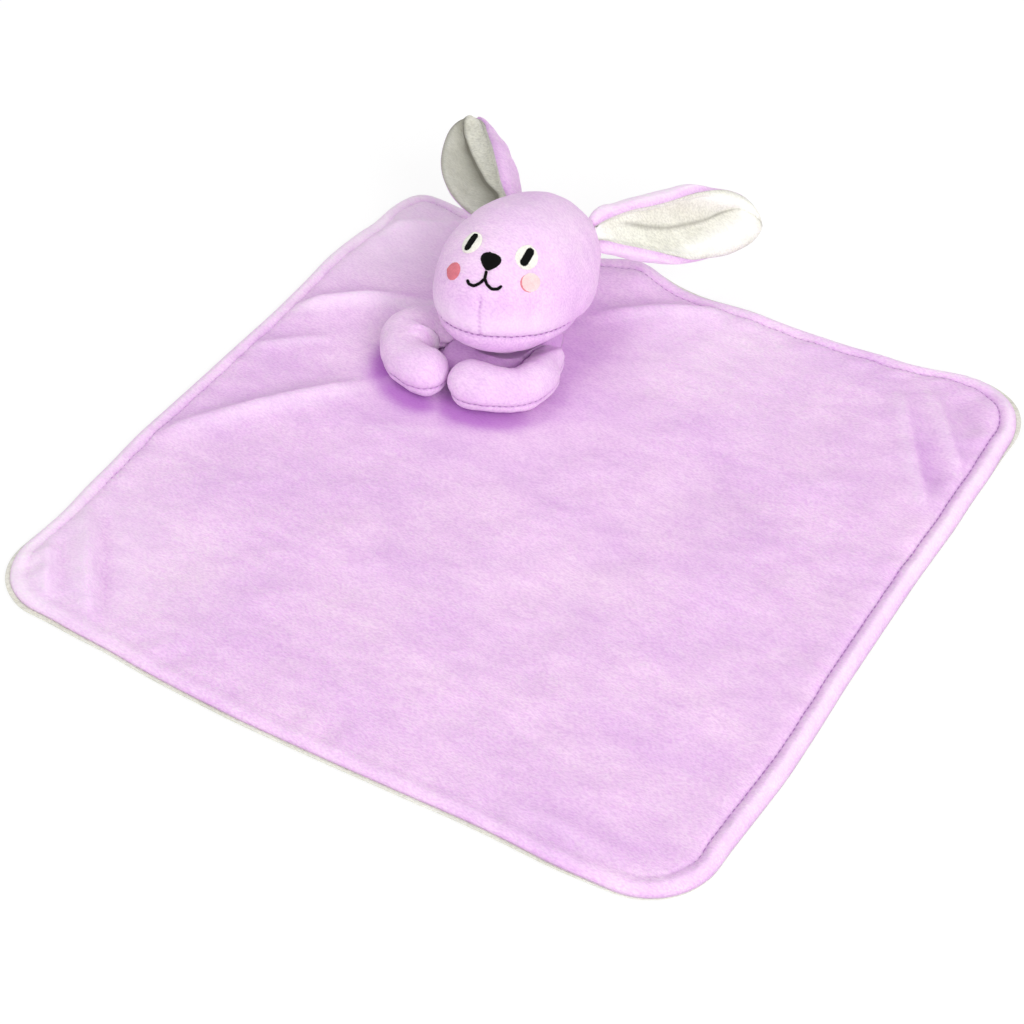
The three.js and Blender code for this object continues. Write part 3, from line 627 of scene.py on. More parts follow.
# Round the hem from the near end of the right side: how far the cloth's edge lies inside the plain square
EDGE_SHIFTS = (
    [0.1, 0.157, 0.243, 0.329, 0.414, 0.614, 0.671, 0.729, 0.786, 0.843, 0.9,
     1.1, 1.157, 1.214, 1.271, 1.329, 1.386, 1.443, 1.5, 1.546, 1.566, 1.591, 1.629, 1.657, 1.883, 1.929,
     1.985, 2.015, 2.047, 2.094, 2.12, 2.157, 2.214, 2.271, 2.357, 2.443, 2.557, 2.671, 2.729, 2.786,
     2.843, 2.9, 3.1, 3.157, 3.214, 3.271, 3.329, 3.414, 3.529, 3.643, 3.729, 3.786, 3.843, 3.9],
    [0, -1, -2.5, -2, -1, -0.5, -1, -1.5, -1, -1.5, -0.5,
     -4, 3, 3.5, 5.5, 6, 6.5, 7.6, 8.2, 6.2, 3.8, 2.5, 4.2, 7.6, 6.5, 5.6,
     -2, 1.5, 5.4, 7, 3.7, 1, -0.5, 1, 2, 1.5, 1.2, 0.5, 2, 2.5,
     4.5, 4, 3.5, 1.5, 0.5, -1.5, -2.5, -3.5, -3, -2, -1, -1.5, -2.5, -1.5],
)
# Waves that lift the whole edge: place, height and width
EDGE_LIFTS = [(1.6, 4.5, 0.05), (1.42, 1.5, 0.05), (2.06, 2.0, 0.06), (0.98, 1.5, 0.05)]
# Height of the seam between the two layers
SEAM_HEIGHTS = ([0.08, 0.2, 0.85, 1.0, 1.2, 1.8, 2.2, 2.8, 3.0, 3.12, 3.8, 3.97],
                [1.3, 0.8, 0.9, 2.6, 2.2, 2.2, 2.2, 2.2, 3.0, 3.4, 3.4, 2.2])
# How far the backing shows beyond the top layer
BACKING_REACH = (
    [0.1, 0.86, 0.95, 1.05, 1.15, 1.3, 1.4, 1.53, 1.57, 1.62, 2.8, 2.95, 3.06, 3.2, 3.8, 3.95],
    [0, 0, 2.4, 2.4, 1.2, 1.0, 2.4, 3.0, 1.2, 0.4, 0.4, 2.2, 2.2, 1.1, 1.1, 0.2],
)
# How clearly the topstitch draws the cloth in, which also sets the painted shade along it
HEM_DEPTHS = (
    [0.02, 0.08, 0.95, 1.08, 1.9, 2.05, 2.15, 2.75, 2.9, 3.05, 3.9, 3.98],
    [0.35, 0.75, 0.8, 0.6, 0.55, 0.4, 0.45, 0.55, 0.35, 0.12, 0.1, 0.2],
)
# Painted light on the rolled edge, round the hem
EDGE_PAINTED_LIGHT = (
    [0.02, 0.25, 1.05, 1.15, 1.5, 1.9, 2.1, 2.9, 3.02, 3.1, 3.95],
    [0.2, 0.8, 1.0, 0.5, 0.4, 0.5, 0.9, 0.9, 0.9, 0.25, 0.15],
)
# Corners lightened with painted light: place and strength
PAINTED_LIGHT_CORNERS = [(-160, -150, 0.35), (-150, 140, 0.45), (20, 140, 0.2)]
# Ridges in the top layer: points along the crest, height, width, the steeper side's share of the width, and
# the painted shade on the steep side, with painted light on the other
FOLDS = [
    ([(-164, 128), (-148, 139), (-117, 159)], 6.2, 10.5, 0.7, 0.12),
    ([(-166, 56), (-138, 76), (-109, 95)], 6.2, 10.5, 0.6, 0.36),
    ([(-166, 20), (-152, 32), (-138, 43)], 2.0, 7, 0.8, 0.2),
    ([(-159, -45), (-130, -9), (-108, 17), (-98, 32)], 5.2, 12, 0.6, 0.24),
    ([(-82, 2), (-66, 9), (-52, 17)], 1.0, 7, 0.8, 0.12),
    ([(-32, 126), (-4, 145), (26, 164)], 5.2, 11, 0.55, 0.14),
    ([(-167, -131), (-139, -167)], 4.0, 8, 0.5, 0.1),
    ([(-163, -111), (-150, -123), (-117, -166)], 4.0, 8.5, 0.5, 0.1),
    ([(134, 152), (164, 112)], 3.6, 8, 0.6, 0.24),
    ([(122, 143), (158, 86)], 3.6, 8.5, 0.6, 0.24),
    ([(104, -160), (150, -164)], 1.5, 8, 0.8, 0.08),
]
# Valleys beside the ridges: points along them, depth, width and how much painted shade lies in them
VALLEYS = [
    ([(-163, -127), (-133, -163)], 1.2, 3.0, 0.2),
    ([(-161, -106), (-146, -117), (-110, -163)], 1.4, 3.4, 0.24),
    ([(141, 159), (163, 138)], 1.2, 6.0, 0.16),
    ([(129, 129), (166, 88)], 1.3, 6.5, 0.18),
    ([(52, 76), (90, 46), (121, 17)], 0.5, 9.0, 0.06),
]
# The way in which the painted shadow round the arms falls
PAINTED_SHADOW_WAY = np.array([-0.42, -0.91])


def blanket_grid(sizes):
    """The rounded square in rings: places, gaps to the edge, round of the hem, ways out, rim and faces."""
    half = sizes.side / MM / 2
    corner = sizes.corner / MM
    count = BLANKET_RINGS
    inner = np.linspace(HEM_RINGS[-1], half, count + 2 - len(HEM_RINGS))[1:]
    insets = np.concatenate([HEM_RINGS, inner])
    steps = np.arange(-count, count + 1)
    i, j = (g.ravel() for g in np.meshgrid(steps, steps))
    ring = np.maximum(abs(i), abs(j))
    inset = insets[count - ring]
    size = half - inset
    lesser = np.minimum(abs(i), abs(j)) / np.maximum(ring, 1) * size
    shrunk = (corner - CORNER_DEPTH) * size / (half - CORNER_DEPTH)
    radius = np.where(inset < CORNER_DEPTH, corner - inset, shrunk)
    straight = size - radius
    turn = np.clip((lesser - straight) / np.maximum(radius, 1e-6), 0, 1) * math.pi / 4
    bent = lesser > straight
    far = np.where(bent, straight + radius * np.cos(turn), size)
    near = np.where(bent, straight + radius * np.sin(turn), lesser)
    wide = abs(i) >= abs(j)
    x = np.sign(i) * np.where(wide, far, near)
    y = np.sign(j) * np.where(wide, near, far)
    along = np.where(wide, j, i) / np.maximum(ring, 1)
    sides = [wide & (i > 0), ~wide & (j > 0), wide & (i <= 0), ~wide & (j <= 0)]
    starts = [0.5 + 0.5 * along, 1.5 - 0.5 * along, 2.5 - 0.5 * along, 3.5 + 0.5 * along]
    run = np.select(sides, starts)
    flat = np.stack([x, y], 1)
    out = flat - np.clip(flat, FAN_DEPTH - half, half - FAN_DEPTH)
    out /= np.maximum(np.linalg.norm(out, axis=1), 1e-6)[:, None]
    faces = grid_faces(len(steps), len(steps))
    return {"flat": flat, "inset": inset, "run": run, "out": out, "rim": ring == count, "faces": faces}


def hem_value(run, table):
    """A value along the closed hem, smoothed over its corners."""
    places, values = table
    steps = [np.interp(run + d, places, values, period=4) for d in (-0.02, -0.01, 0, 0.01, 0.02)]
    return np.mean(steps, axis=0)


def laid_out(grid, reach=0.0):
    """The grid's places with the edge shifted as the cloth lies, and moved out by a reach at its rim."""
    shift = hem_value(grid["run"], EDGE_SHIFTS)
    move = -shift * (1 - smooth(0, 80, grid["inset"])) + reach * (1 - smooth(0, 9, grid["inset"]))
    return grid["flat"] + grid["out"] * move[:, None]


def beside(flat, line):
    """Distance from a line over the cloth, positive on its left, and the share of the line passed there."""
    line = np.array(line, float)
    steps = np.linalg.norm(np.diff(line, axis=0), axis=1)
    starts = np.cumsum(steps) - steps
    best = np.full(len(flat), np.inf)
    away = np.zeros(len(flat))
    share = np.zeros(len(flat))
    for a, b, step, start in zip(line, line[1:], steps, starts):
        way = (b - a) / step
        along = np.clip((flat - a) @ way, 0, step)
        gap = flat - a - along[:, None] * way
        far = np.linalg.norm(gap, axis=1)
        side = np.where(gap @ np.array([-way[1], way[0]]) > 0, 1.0, -1.0)
        nearer = far < best
        best = np.where(nearer, far, best)
        away = np.where(nearer, side * far, away)
        share = np.where(nearer, (start + along) / steps.sum(), share)
    return away, share


def valley_share(flat, line, wide):
    """1 along a line over the cloth, falling to 0 beside it and towards its ends."""
    away, share = beside(flat, line)
    fade = smooth(0, 0.3, share) * smooth(1, 0.7, share)
    return bell(away, 0, wide) * (0.2 + 0.8 * fade)


def edge_lift(grid):
    """Height by which waves lift the edge."""
    height = sum(tall * bell(grid["run"], place, wide) for place, tall, wide in EDGE_LIFTS)
    return height * (1 - smooth(0, EDGE_BAND, grid["inset"]))


def crest_share(share):
    """How much of its full height a ridge has along its length."""
    return 0.35 + 0.65 * np.sin(math.pi * (0.12 + 0.78 * share))


def fold_height(flat):
    """Height of the ridges over the lying cloth."""
    height = np.zeros(len(flat))
    for crest, tall, wide, steep, _ in FOLDS:
        away, share = beside(flat, crest)
        away = away / np.where(away > 0, wide * steep, wide)
        height += tall * crest_share(share) * (0.6 * np.exp(-(away**2)) + 0.4 * np.exp(-((away / 0.42) ** 2)))
    return height


def fold_painted_shading(flat):
    """Painted shade on the ridges' steep sides, above 0, and painted light on their other sides, below 0."""
    shade = np.zeros(len(flat))
    for crest, _, wide, _, dark in FOLDS:
        away, share = beside(flat, crest)
        behind = np.exp(-np.maximum(away, 0) / (1.2 * wide)) * smooth(-0.5, 2.5, away)
        before = 1.1 * bell(away, -0.3 * wide, 0.4 * wide)
        shade += dark * crest_share(share) * (behind - before)
    return shade


def toy_clearing(flat):
    """0 where the toy lies on the blanket and 1 away from it."""
    return smooth(0.7, 1.5, (((flat - TOY_PLACE) / TOY_REACH) ** 2).sum(axis=1))


def painted_toy_shadow(flat, toy):
    """How much painted shadow darkens the pile round the arms, more on the side where it falls, and round the
    head.
    """
    shade = np.zeros(len(flat))
    for name in ARM_ROUTES:
        core = arm_skin(name, toy)[2]
        gaps = np.hypot(flat[:, :1] - core[:, 0], flat[:, 1:] - core[:, 1]) - (core[:, 2] - TOP_LEVEL)
        nearest = np.argmin(gaps, axis=1)
        gap = np.maximum(gaps.min(axis=1), 0)
        away = flat - core[nearest, :2]
        facing = away @ PAINTED_SHADOW_WAY / (np.linalg.norm(away, axis=1) + 0.01)
        shade = np.maximum(shade, (0.3 + 0.45 * smooth(-0.2, 0.8, facing)) * bell(gap, 0, 5.5))
    wide, long, _ = head_radii(toy)
    local = turned(at_zero(flat - HEAD_MIDDLE[:2]), -BODY_HEADING)
    away = (np.hypot(local[:, 0] / wide, local[:, 1] / long) - 0.85) * wide
    return np.maximum(shade, 0.3 * bell(np.maximum(away, 0), 0, 14))


def top_surface(grid, flat, sizes):
    """Height of the blanket's lilac face."""
    inset, run = grid["inset"], grid["run"]
    hem = sizes.hem / MM
    seam = hem_value(run, SEAM_HEIGHTS) + SEAM_GAP
    roll = np.clip(inset / (sizes.roll / MM), 0, 1)
    level = seam + (TOP_LEVEL - seam) * np.sqrt(1 - (1 - roll) ** 2)
    drawn_in = hem_value(run, HEM_DEPTHS)
    level += (0.2 + 0.45 * drawn_in) * bell(inset, 4.3, 2.0)
    level -= drawn_in * (1.0 * bell(inset, hem, 0.8) + 0.9 * bell(inset, hem, 2.6))
    level += drawn_in * 0.35 * bell(inset, hem + 6, 3.5)
    pucker = round_waves(run, [203, 239, 277, 318, 366], 3)
    level += 0.2 * pucker * bell(inset, hem, 4.5) * (1 - 0.8 * bell(inset, hem, 0.9)) * smooth(0, 1.5, inset)
    drawn = round_waves(run, [41, 53, 67, 82], 5)
    level += 0.3 * drawn * bell(inset, hem + 4, 8) * smooth(0, 3, inset)
    inside = smooth(hem, EDGE_BAND, inset)
    clear = toy_clearing(flat)
    uneven = 0.42 * waviness(flat, 80, 11) + 0.2 * waviness(flat, 30, 12) + 0.09 * waviness(flat, 11, 13)
    level += uneven * inside * (0.15 + 0.85 * clear) - 0.15 * (1 - clear)
    edge = smooth(0.4 * hem, 2.4 * hem, inset)
    level += fold_height(flat) * edge * clear
    for line, deep, wide, _ in VALLEYS:
        level -= deep * valley_share(flat, line, wide) * smooth(hem, 2.4 * hem, inset)
    return level + edge_lift(grid)


def seam_surface(grid):
    """Height of the seam's surface between the blanket's two layers."""
    seam = hem_value(grid["run"], SEAM_HEIGHTS)
    return SEAM_LEVEL + (seam - SEAM_LEVEL) * (1 - smooth(0, 7, grid["inset"])) + edge_lift(grid)


def panel_shell(grid, flat, over, under):
    """A closed panel: its two faces meet at the rim."""
    count = len(flat)
    inner = np.flatnonzero(~grid["rim"])
    lower = np.arange(count)
    lower[inner] = count + np.arange(len(inner))
    points = np.vstack([np.column_stack([flat, over]), np.column_stack([flat[inner], under[inner]])])
    faces = np.vstack([grid["faces"], lower[grid["faces"]][:, ::-1]])
    return points, faces, inner


def top_painted_shading(grid, flat, sizes, toy):
    """Painted shading of the lilac pile: painted shade above 0 in the hem's groove, along the edge, in the
    valleys, on the ridges' far sides and round the toy; painted light below 0 on the rolled edge, the ridges'
    near sides and some corners.
    """
    inset, run = grid["inset"], grid["run"]
    depth = 0.42 * hem_value(run, HEM_DEPTHS) * bell(inset, sizes.hem / MM, 0.7) + 0.25 * bell(inset, 0, 0.6)
    for line, _, wide, dark in VALLEYS:
        depth += dark * valley_share(flat, line, 0.8 * wide)
    depth += fold_painted_shading(flat) * smooth(4, 12, inset)
    depth -= 0.45 * hem_value(run, EDGE_PAINTED_LIGHT) * bell(inset, 3.2, 2.6)
    for x, y, pale in PAINTED_LIGHT_CORNERS:
        depth -= pale * bell(np.hypot(flat[:, 0] - x, flat[:, 1] - y), 0, 55)
    return np.clip(depth + painted_toy_shadow(flat, toy), -0.6, 0.85)


class COMFORTER_OT_blanket(Operator):
    """Makes the blanket's lilac top and grey backing"""

    bl_idname = "comforter.blanket"
    bl_label = "Blanket"

    def execute(self, context):
        sizes = context.scene.comforter_blanket
        grid = blanket_grid(sizes)
        flat = laid_out(grid)
        middle = seam_surface(grid)
        points, faces, inner = panel_shell(grid, flat, top_surface(grid, flat, sizes), middle + SEAM_GAP)
        crease = top_painted_shading(grid, flat, sizes, context.scene.comforter_toy)
        crease = np.concatenate([crease, crease[inner]])
        top = piece("blanket_top", points, faces, "lilac_plush", crease)
        settle(top, "blanket", "lilac_plush", "blanket_top_panel")
        flat = laid_out(grid, hem_value(grid["run"], BACKING_REACH))
        seam = hem_value(grid["run"], SEAM_HEIGHTS) - SEAM_GAP
        round_off = np.sqrt(1 - (1 - np.clip(grid["inset"] / BACKING_ROLL, 0, 1)) ** 2)
        under = seam * (1 - round_off) + edge_lift(grid)
        points, faces, inner = panel_shell(grid, flat, middle - SEAM_GAP, under)
        # Painted shade along the backing's edge
        crease = np.concatenate([0.12 * bell(grid["inset"], 0, 1)] * 2)[: len(points)]
        backing = piece("blanket_backing", points, faces, "grey_plush", crease)
        settle(backing, "blanket", "grey_plush", "blanket_backing_panel")
        return {"FINISHED"}


class COMFORTER_OT_hem_topstitch(Operator):
    """Sews the topstitch round the blanket's hem"""

    bl_idname = "comforter.hem_topstitch"
    bl_label = "Hem topstitch"

    def execute(self, context):
        sizes = context.scene.comforter_blanket
        grid = blanket_grid(sizes)
        flat = laid_out(grid)
        over = top_surface(grid, flat, sizes)
        line = np.flatnonzero(abs(grid["inset"] - sizes.hem / MM) < 0.01)
        line = line[np.argsort(grid["run"][line])]
        sunk = 0.9 * (1 - hem_value(grid["run"][line], HEM_DEPTHS))
        points = np.column_stack([flat[line], over[line] + THREAD_LIFT - sunk])
        stitches = stitched("hem_stitches", [(points, True)], sizes.spacing, sizes.stitch, sizes.thread)
        settle(stitches, "blanket", "lilac_thread", "hem_topstitch")
        return {"FINISHED"}


# Head, in the face's frame, with its middle at the origin

FACE_TURN = FACE_HEADING - BODY_HEADING
EAR_SEAM_PLACE = np.array([0, 26, 0])
EAR_SEAM_WAY = unit(np.array([0, 1, -1]))
CHIN_SEAM_PLACE = np.array([0, -45, -3.6])
CHIN_SEAM_WAY = unit(np.array([0, 0.25, 1]))
# Where the search for the slanting chin seam starts, and its stitches: spacing, length and thread in metres
CHIN_LEVEL = -4.0
CHIN_STITCHES = (0.0031, 0.0017, 0.00062)
# How far the chest presses the underside in
HEAD_FLATTENING = 3.8
# Ends of the dart in the middle of the face
DART_TOP = np.array([-1.0, 0, 19.5])
DART_FOOT = np.array([0.4, 0, -3.0])


def head_radii(sizes):
    """Half the head's width, length and height."""
    return np.array([sizes.head_width, sizes.head_length, sizes.head_height]) / MM / 2


def head_normal(points, sizes):
    """The direction out of the plain head."""
    return turned(unit(turned(points, FACE_TURN) / head_radii(sizes) ** 2), -FACE_TURN)


def head_sag(points):
    """How far the head's underside lies inside the plain head, pressed flat on the chest."""
    return -HEAD_FLATTENING * smooth(-9, -27, points[:, 2])


def head_seams(points):
    """Distances from the chin seam, the ears' seam and the face's dart, and 1 above the chin seam."""
    chin = (points - CHIN_SEAM_PLACE) @ CHIN_SEAM_WAY
    ears = (points - EAR_SEAM_PLACE) @ EAR_SEAM_WAY
    share = np.clip((points[:, 2] - DART_FOOT[2]) / (DART_TOP[2] - DART_FOOT[2]), 0, 1)
    dart = points[:, 0] - (DART_FOOT[0] + (DART_TOP[0] - DART_FOOT[0]) * share)
    return chin, ears, dart, smooth(-1.5, 1.5, chin)


def head_swell(points):
    """How far the stuffed head stands out of the plain one: seams drawn in, lumps and puckers."""
    chin, ears, dart, above = head_seams(points)
    front = smooth(-20, -30, points[:, 1]) * smooth(DART_TOP[2] + 1.5, DART_TOP[2] - 4, points[:, 2])
    swell = -1.15 * bell(chin, 0, 1.5) - 0.6 * bell(chin, 0, 4.5)
    swell -= (0.9 * bell(ears, 0, 1.5) + 0.5 * bell(ears, 0, 4.5)) * above
    swell -= (0.55 * bell(dart, 0, 0.6) + 0.2 * bell(dart, 0, 2.5)) * front * above
    around = np.arctan2(points[:, 1], points[:, 0])
    pucker = np.cos(47 * around + 1.3) + 0.8 * np.cos(61 * around) + 0.6 * np.cos(83 * around + 0.5)
    swell += 0.13 * pucker * bell(abs(chin), 2.2, 3.0)
    swell += 0.3 * waviness(points, 34, 21) + 0.1 * waviness(points, 12, 22)
    return swell + head_sag(points)


def head_painted_shading(points):
    """Painted shading of the head, up to 1: painted shade in the seams, the dart and below the chin seam, and
    painted light below 0 on the lower face and the top.
    """
    chin, ears, dart, above = head_seams(points)
    front = smooth(-20, -30, points[:, 1]) * smooth(DART_TOP[2], DART_TOP[2] - 5, points[:, 2])
    depth = 0.42 * bell(chin, 0, 0.8) + 0.5 * bell(ears, 0, 0.8) * above
    depth += 0.6 * bell(dart, 0, 0.5) * front * above
    depth -= 0.4 * bell(chin, 7, 7) * smooth(-10, -35, points[:, 1])
    depth += 0.16 * smooth(-0.5, -3, chin) - 0.15 * smooth(10, 34, points[:, 2])
    return np.clip(depth, -0.6, 1)


def on_head(directions, lift, sizes):
    """Points of the stuffed head's surface in given directions from its middle, and their normals."""
    local = turned(np.atleast_2d(directions), FACE_TURN)
    local = local / np.linalg.norm(local / head_radii(sizes), axis=1)[:, None]
    points = turned(local, -FACE_TURN)
    normals = head_normal(points, sizes)
    return points + normals * (head_swell(points) + lift)[:, None], normals


def face_spot(across, up, sizes):
    """The place on the front of the plain head at a distance across the face and above its middle."""
    c, s = math.cos(FACE_TURN), math.sin(FACE_TURN)
    a, b, h = head_radii(sizes)
    square = (s / a) ** 2 + (c / b) ** 2
    linear = c * s * across * (1 / b**2 - 1 / a**2)
    rest = (c * across / a) ** 2 + (s * across / b) ** 2 + (up / h) ** 2 - 1
    y = (-linear - math.sqrt(linear**2 - square * rest)) / square
    return np.array([across, y, up])


def in_place(points):
    """Points of the face's frame in the frame of the solids."""
    return turned(points, FACE_HEADING) + HEAD_MIDDLE


class COMFORTER_OT_head(Operator):
    """Makes the head's three sewn panels"""

    bl_idname = "comforter.head"
    bl_label = "Head"

    def execute(self, context):
        sizes = context.scene.comforter_toy
        ball = bmesh.new()
        bmesh.ops.create_icosphere(ball, subdivisions=6, radius=1)
        ball.verts.index_update()
        sphere = np.array([v.co for v in ball.verts])
        faces = [tuple(v.index for v in f.verts) for f in ball.faces]
        ball.free()
        skin = turned(sphere * head_radii(sizes), -FACE_TURN)
        upper, upper_faces = half_shell(skin, faces, CHIN_SEAM_PLACE, CHIN_SEAM_WAY)
        panels = {
            "head_face_panel": half_shell(upper, upper_faces, EAR_SEAM_PLACE, -EAR_SEAM_WAY),
            "head_back_panel": half_shell(upper, upper_faces, EAR_SEAM_PLACE, EAR_SEAM_WAY),
            "head_under_panel": half_shell(skin, faces, CHIN_SEAM_PLACE, -CHIN_SEAM_WAY),
        }
        for node, (points, sides) in panels.items():
            normals = head_normal(points, sizes)
            swell = head_swell(points)
            outer = points + normals * swell[:, None]
            inner = points + normals * (0.6 * swell + 0.4 * head_sag(points) - sizes.cover / MM)[:, None]
            shell, walls = thickened(outer, sides, inner)
            crease = np.tile(head_painted_shading(points), 2)
            panel = piece(node.replace("_panel", ""), in_place(shell), walls, "lilac_plush", crease)
            settle(panel, "head", "lilac_plush", node)
        return {"FINISHED"}


class COMFORTER_OT_chin_stitches(Operator):
    """Sews the stitches that show in the chin seam"""

    bl_idname = "comforter.chin_stitches"
    bl_label = "Chin stitches"

    def execute(self, context):
        sizes = context.scene.comforter_toy
        around = np.linspace(0, 2 * math.pi, 240, endpoint=False)
        width, depth, tall = head_radii(sizes)
        level = np.full(len(around), CHIN_LEVEL)
        for _ in range(30):
            share = np.sqrt(1 - (level / tall) ** 2)
            ring = np.stack([share * width * np.cos(around), share * depth * np.sin(around), level], 1)
            ring = turned(ring, -FACE_TURN)
            level = level - (ring - CHIN_SEAM_PLACE) @ CHIN_SEAM_WAY
        points, _ = on_head(ring, 0.12, sizes)
        stitches = stitched("chin_stitches", [(in_place(points), True)], *CHIN_STITCHES)
        settle(stitches, "head", "lilac_thread", "chin_stitching")
        return {"FINISHED"}


# Embroidery: places are distances across the face and above the head's middle, sizes are width and height.
# Satin is the way of its threads, their lift off the plush and the height of the padding under them.

EYE = {"across": 13.4, "up": 30.2, "lean": 0.8, "size": (10.6, 11.6), "satin": (0.25, 0.1, 0.35)}
PUPIL = {"size": (4.1, 9.4), "lean": 8, "satin": (-0.15, 0.5, 0.3)}
NOSE = {"across": -1.0, "up": 28.8, "size": (9.6, 8.2), "satin": (0.1, 0.15, 0.6)}
CHEEK = {"across": 18.0, "up": 21.0, "size": (8.8, 8.4)}
CHEEK_SATIN = {
    "left": ("pale_pink_thread", (math.pi / 2 + 0.5, 0.05, 0.25)),
    "right": ("rose_thread", (math.pi / 2 - 0.1, 0.05, 0.25)),
}
CHEEK_EDGE = {"across": 17.45, "up": 20.9, "size": (9.3, 8.7)}
MOUTH = {"middle": 23.6, "corner": (8.0, 21.4), "dip": (4.2, 20.2), "near": (1.6, 21.7), "late": (6.8, 20.3)}
# Half of the nose's outline, from below to above
NOSE_SIDE = [
    (0.14, -1), (0.44, -0.74), (0.78, -0.34), (0.98, 0.06),
    (1, 0.42), (0.88, 0.74), (0.6, 0.93), (0.25, 1),
]
OUTLINE_STEPS = 48
SATIN_SLACK = 0.12
SATIN_SPACING = 0.92
PAD_SINK = 0.5
MOUTH_LIFT = 0.25
STRANDS = (0, 2.1, 4.2)


def oval(width, height):
    """Outline of an oval patch."""
    turn = np.linspace(0, 2 * math.pi, OUTLINE_STEPS, endpoint=False)
    return np.stack([width / 2 * np.cos(turn), height / 2 * np.sin(turn)], 1)


def bar(width, height, lean):
    """Outline of a pupil: an upright bar with round ends that leans to one side."""
    shape = oval(width, width)
    turn = np.linspace(0, 2 * math.pi, OUTLINE_STEPS, endpoint=False)
    shape[:, 1] += np.where(np.sin(turn) >= 0, 1, -1) * (height - width) / 2
    c, s = math.cos(math.radians(lean)), math.sin(math.radians(lean))
    return shape @ np.array([[c, -s], [s, c]])


def nose_shape(width, height):
    """Outline of the nose: broad and round above, pointed below."""
    side = np.array(NOSE_SIDE)
    return np.vstack([side, side[::-1] * (-1, 1)]) * (width / 2, height / 2)


def satin_lines(outline, way, spacing):
    """Parallel lines across an outline: pairs of ends, in order."""
    c, s = math.cos(way), math.sin(way)
    level = outline @ np.array([-s, c])
    along = outline @ np.array([c, s])
    lines = []
    for height in np.arange(level.min() + spacing / 2, level.max(), spacing):
        cuts = []
        for k in range(len(outline)):
            n = (k + 1) % len(outline)
            low, high = level[k], level[n]
            if (low <= height) != (high <= height):
                share = (height - low) / (high - low)
                cuts.append(along[k] + share * (along[n] - along[k]))
        if len(cuts) >= 2 and max(cuts) - min(cuts) > 0.3:
            lines.append([np.array([c, s]) * a + np.array([-s, c]) * height for a in (min(cuts), max(cuts))])
    return lines


def on_patch(spot, flat, lift, sizes):
    """Points laid on the head round a spot: flat holds distances across and up the surface."""
    normal = on_head(spot, 0, sizes)[1][0]
    across = unit(np.array([1.0, 0, 0]) - normal * normal[0])
    up = np.cross(normal, across)
    return on_head(spot + flat[:, :1] * across + flat[:, 1:] * up, lift, sizes)[0]


def satin_threads(spot, outline, way, spacing, lift, dome, sizes):
    """Satin threads over a patch, as lines in place."""
    lines = []
    rng = np.random.default_rng(31)
    for start, end in satin_lines(outline, way, spacing):
        share = np.linspace(0, 1, 9)
        slack = rng.uniform(-SATIN_SLACK, SATIN_SLACK, 2)
        run = unit(end - start)
        line = start - run * slack[0] + share[:, None] * (end - start + run * (slack[0] + slack[1]))
        arch = 1 - (2 * share - 1) ** 4
        lines.append((in_place(on_patch(spot, line, lift + dome * arch - 0.2 * (1 - arch), sizes)), False))
    return lines


def embroidered_pad(name, spot, outline, lift, dome, finish, sizes):
    """The padded ground under satin threads: a closed low dome."""
    levels = [(0.99, lift - PAD_SINK)]
    levels += [(share, lift + dome * math.sqrt(1 - share**4)) for share in (1.0, 0.98, 0.9, 0.7, 0.4)]
    rings = [on_patch(spot, outline * share, height, sizes) for share, height in levels]
    tips = [on_patch(spot, np.zeros((1, 2)), height, sizes) for height in (lift - PAD_SINK, lift + dome)]
    faces = capped_tube(len(rings), len(outline))
    return piece(name, in_place(np.vstack(rings + tips)), faces, finish)


def embroidered(name, node, spot, outline, satin_way, finish, sizes):
    """A satin-stitched patch: its ground and its threads as one piece on the head."""
    way, lift, dome = satin_way
    ground = embroidered_pad(name, spot, outline, lift, dome, finish, sizes)
    lines = satin_threads(spot, outline, way, sizes.satin / MM * SATIN_SPACING, lift + 0.05, dome, sizes)
    threads = threaded(name + "_threads", lines, finish, sizes.satin)
    settle(joined(ground, threads), "head", finish, node)


def mouth_lines(sizes):
    """The stem below the nose and the mouth's two curves."""
    middle = face_spot(NOSE["across"], MOUTH["middle"], sizes)
    stem_top = face_spot(NOSE["across"] - 0.2, NOSE["up"] - NOSE["size"][1] / 2 + 1.2, sizes)
    curves = [[stem_top, 0.5 * (stem_top + middle), middle]]
    for side in (-1, 1):
        keys = [MOUTH[key] for key in ("near", "dip", "late", "corner")]
        curves.append([middle, *(face_spot(NOSE["across"] + side * x, up, sizes) for x, up in keys)])
    lines = []
    for keys in map(np.array, curves):
        share = np.linspace(0, len(keys) - 1, 8 * (len(keys) - 1) + 1)
        path = np.stack([np.interp(share, range(len(keys)), keys[:, k]) for k in range(3)], 1)
        for _ in range(3):
            path[1:-1] = (path[:-2] + 2 * path[1:-1] + path[2:]) / 4
        lines.append(path)
    return lines


def mouth_strands(sizes):
    """The mouth's lines as twisted strands of thread in place."""
    width = sizes.mouth / MM
    strands = []
    for path in mouth_lines(sizes):
        points, normals = on_head(path, MOUTH_LIFT, sizes)
        aside = np.cross(normals, unit(np.gradient(path, axis=0)))
        share = np.linspace(0, 1, len(path))
        taper = np.clip(np.minimum(share, 1 - share) * 8 + 0.45, 0, 1)
        for phase in STRANDS:
            twist = np.arange(len(path)) * 1.1 + phase
            shift = (0.3 * width * np.cos(twist) * taper)[:, None]
            rise = (0.16 * width * np.sin(twist))[:, None]
            strands.append((in_place(points + aside * shift + normals * rise), False))
    return strands


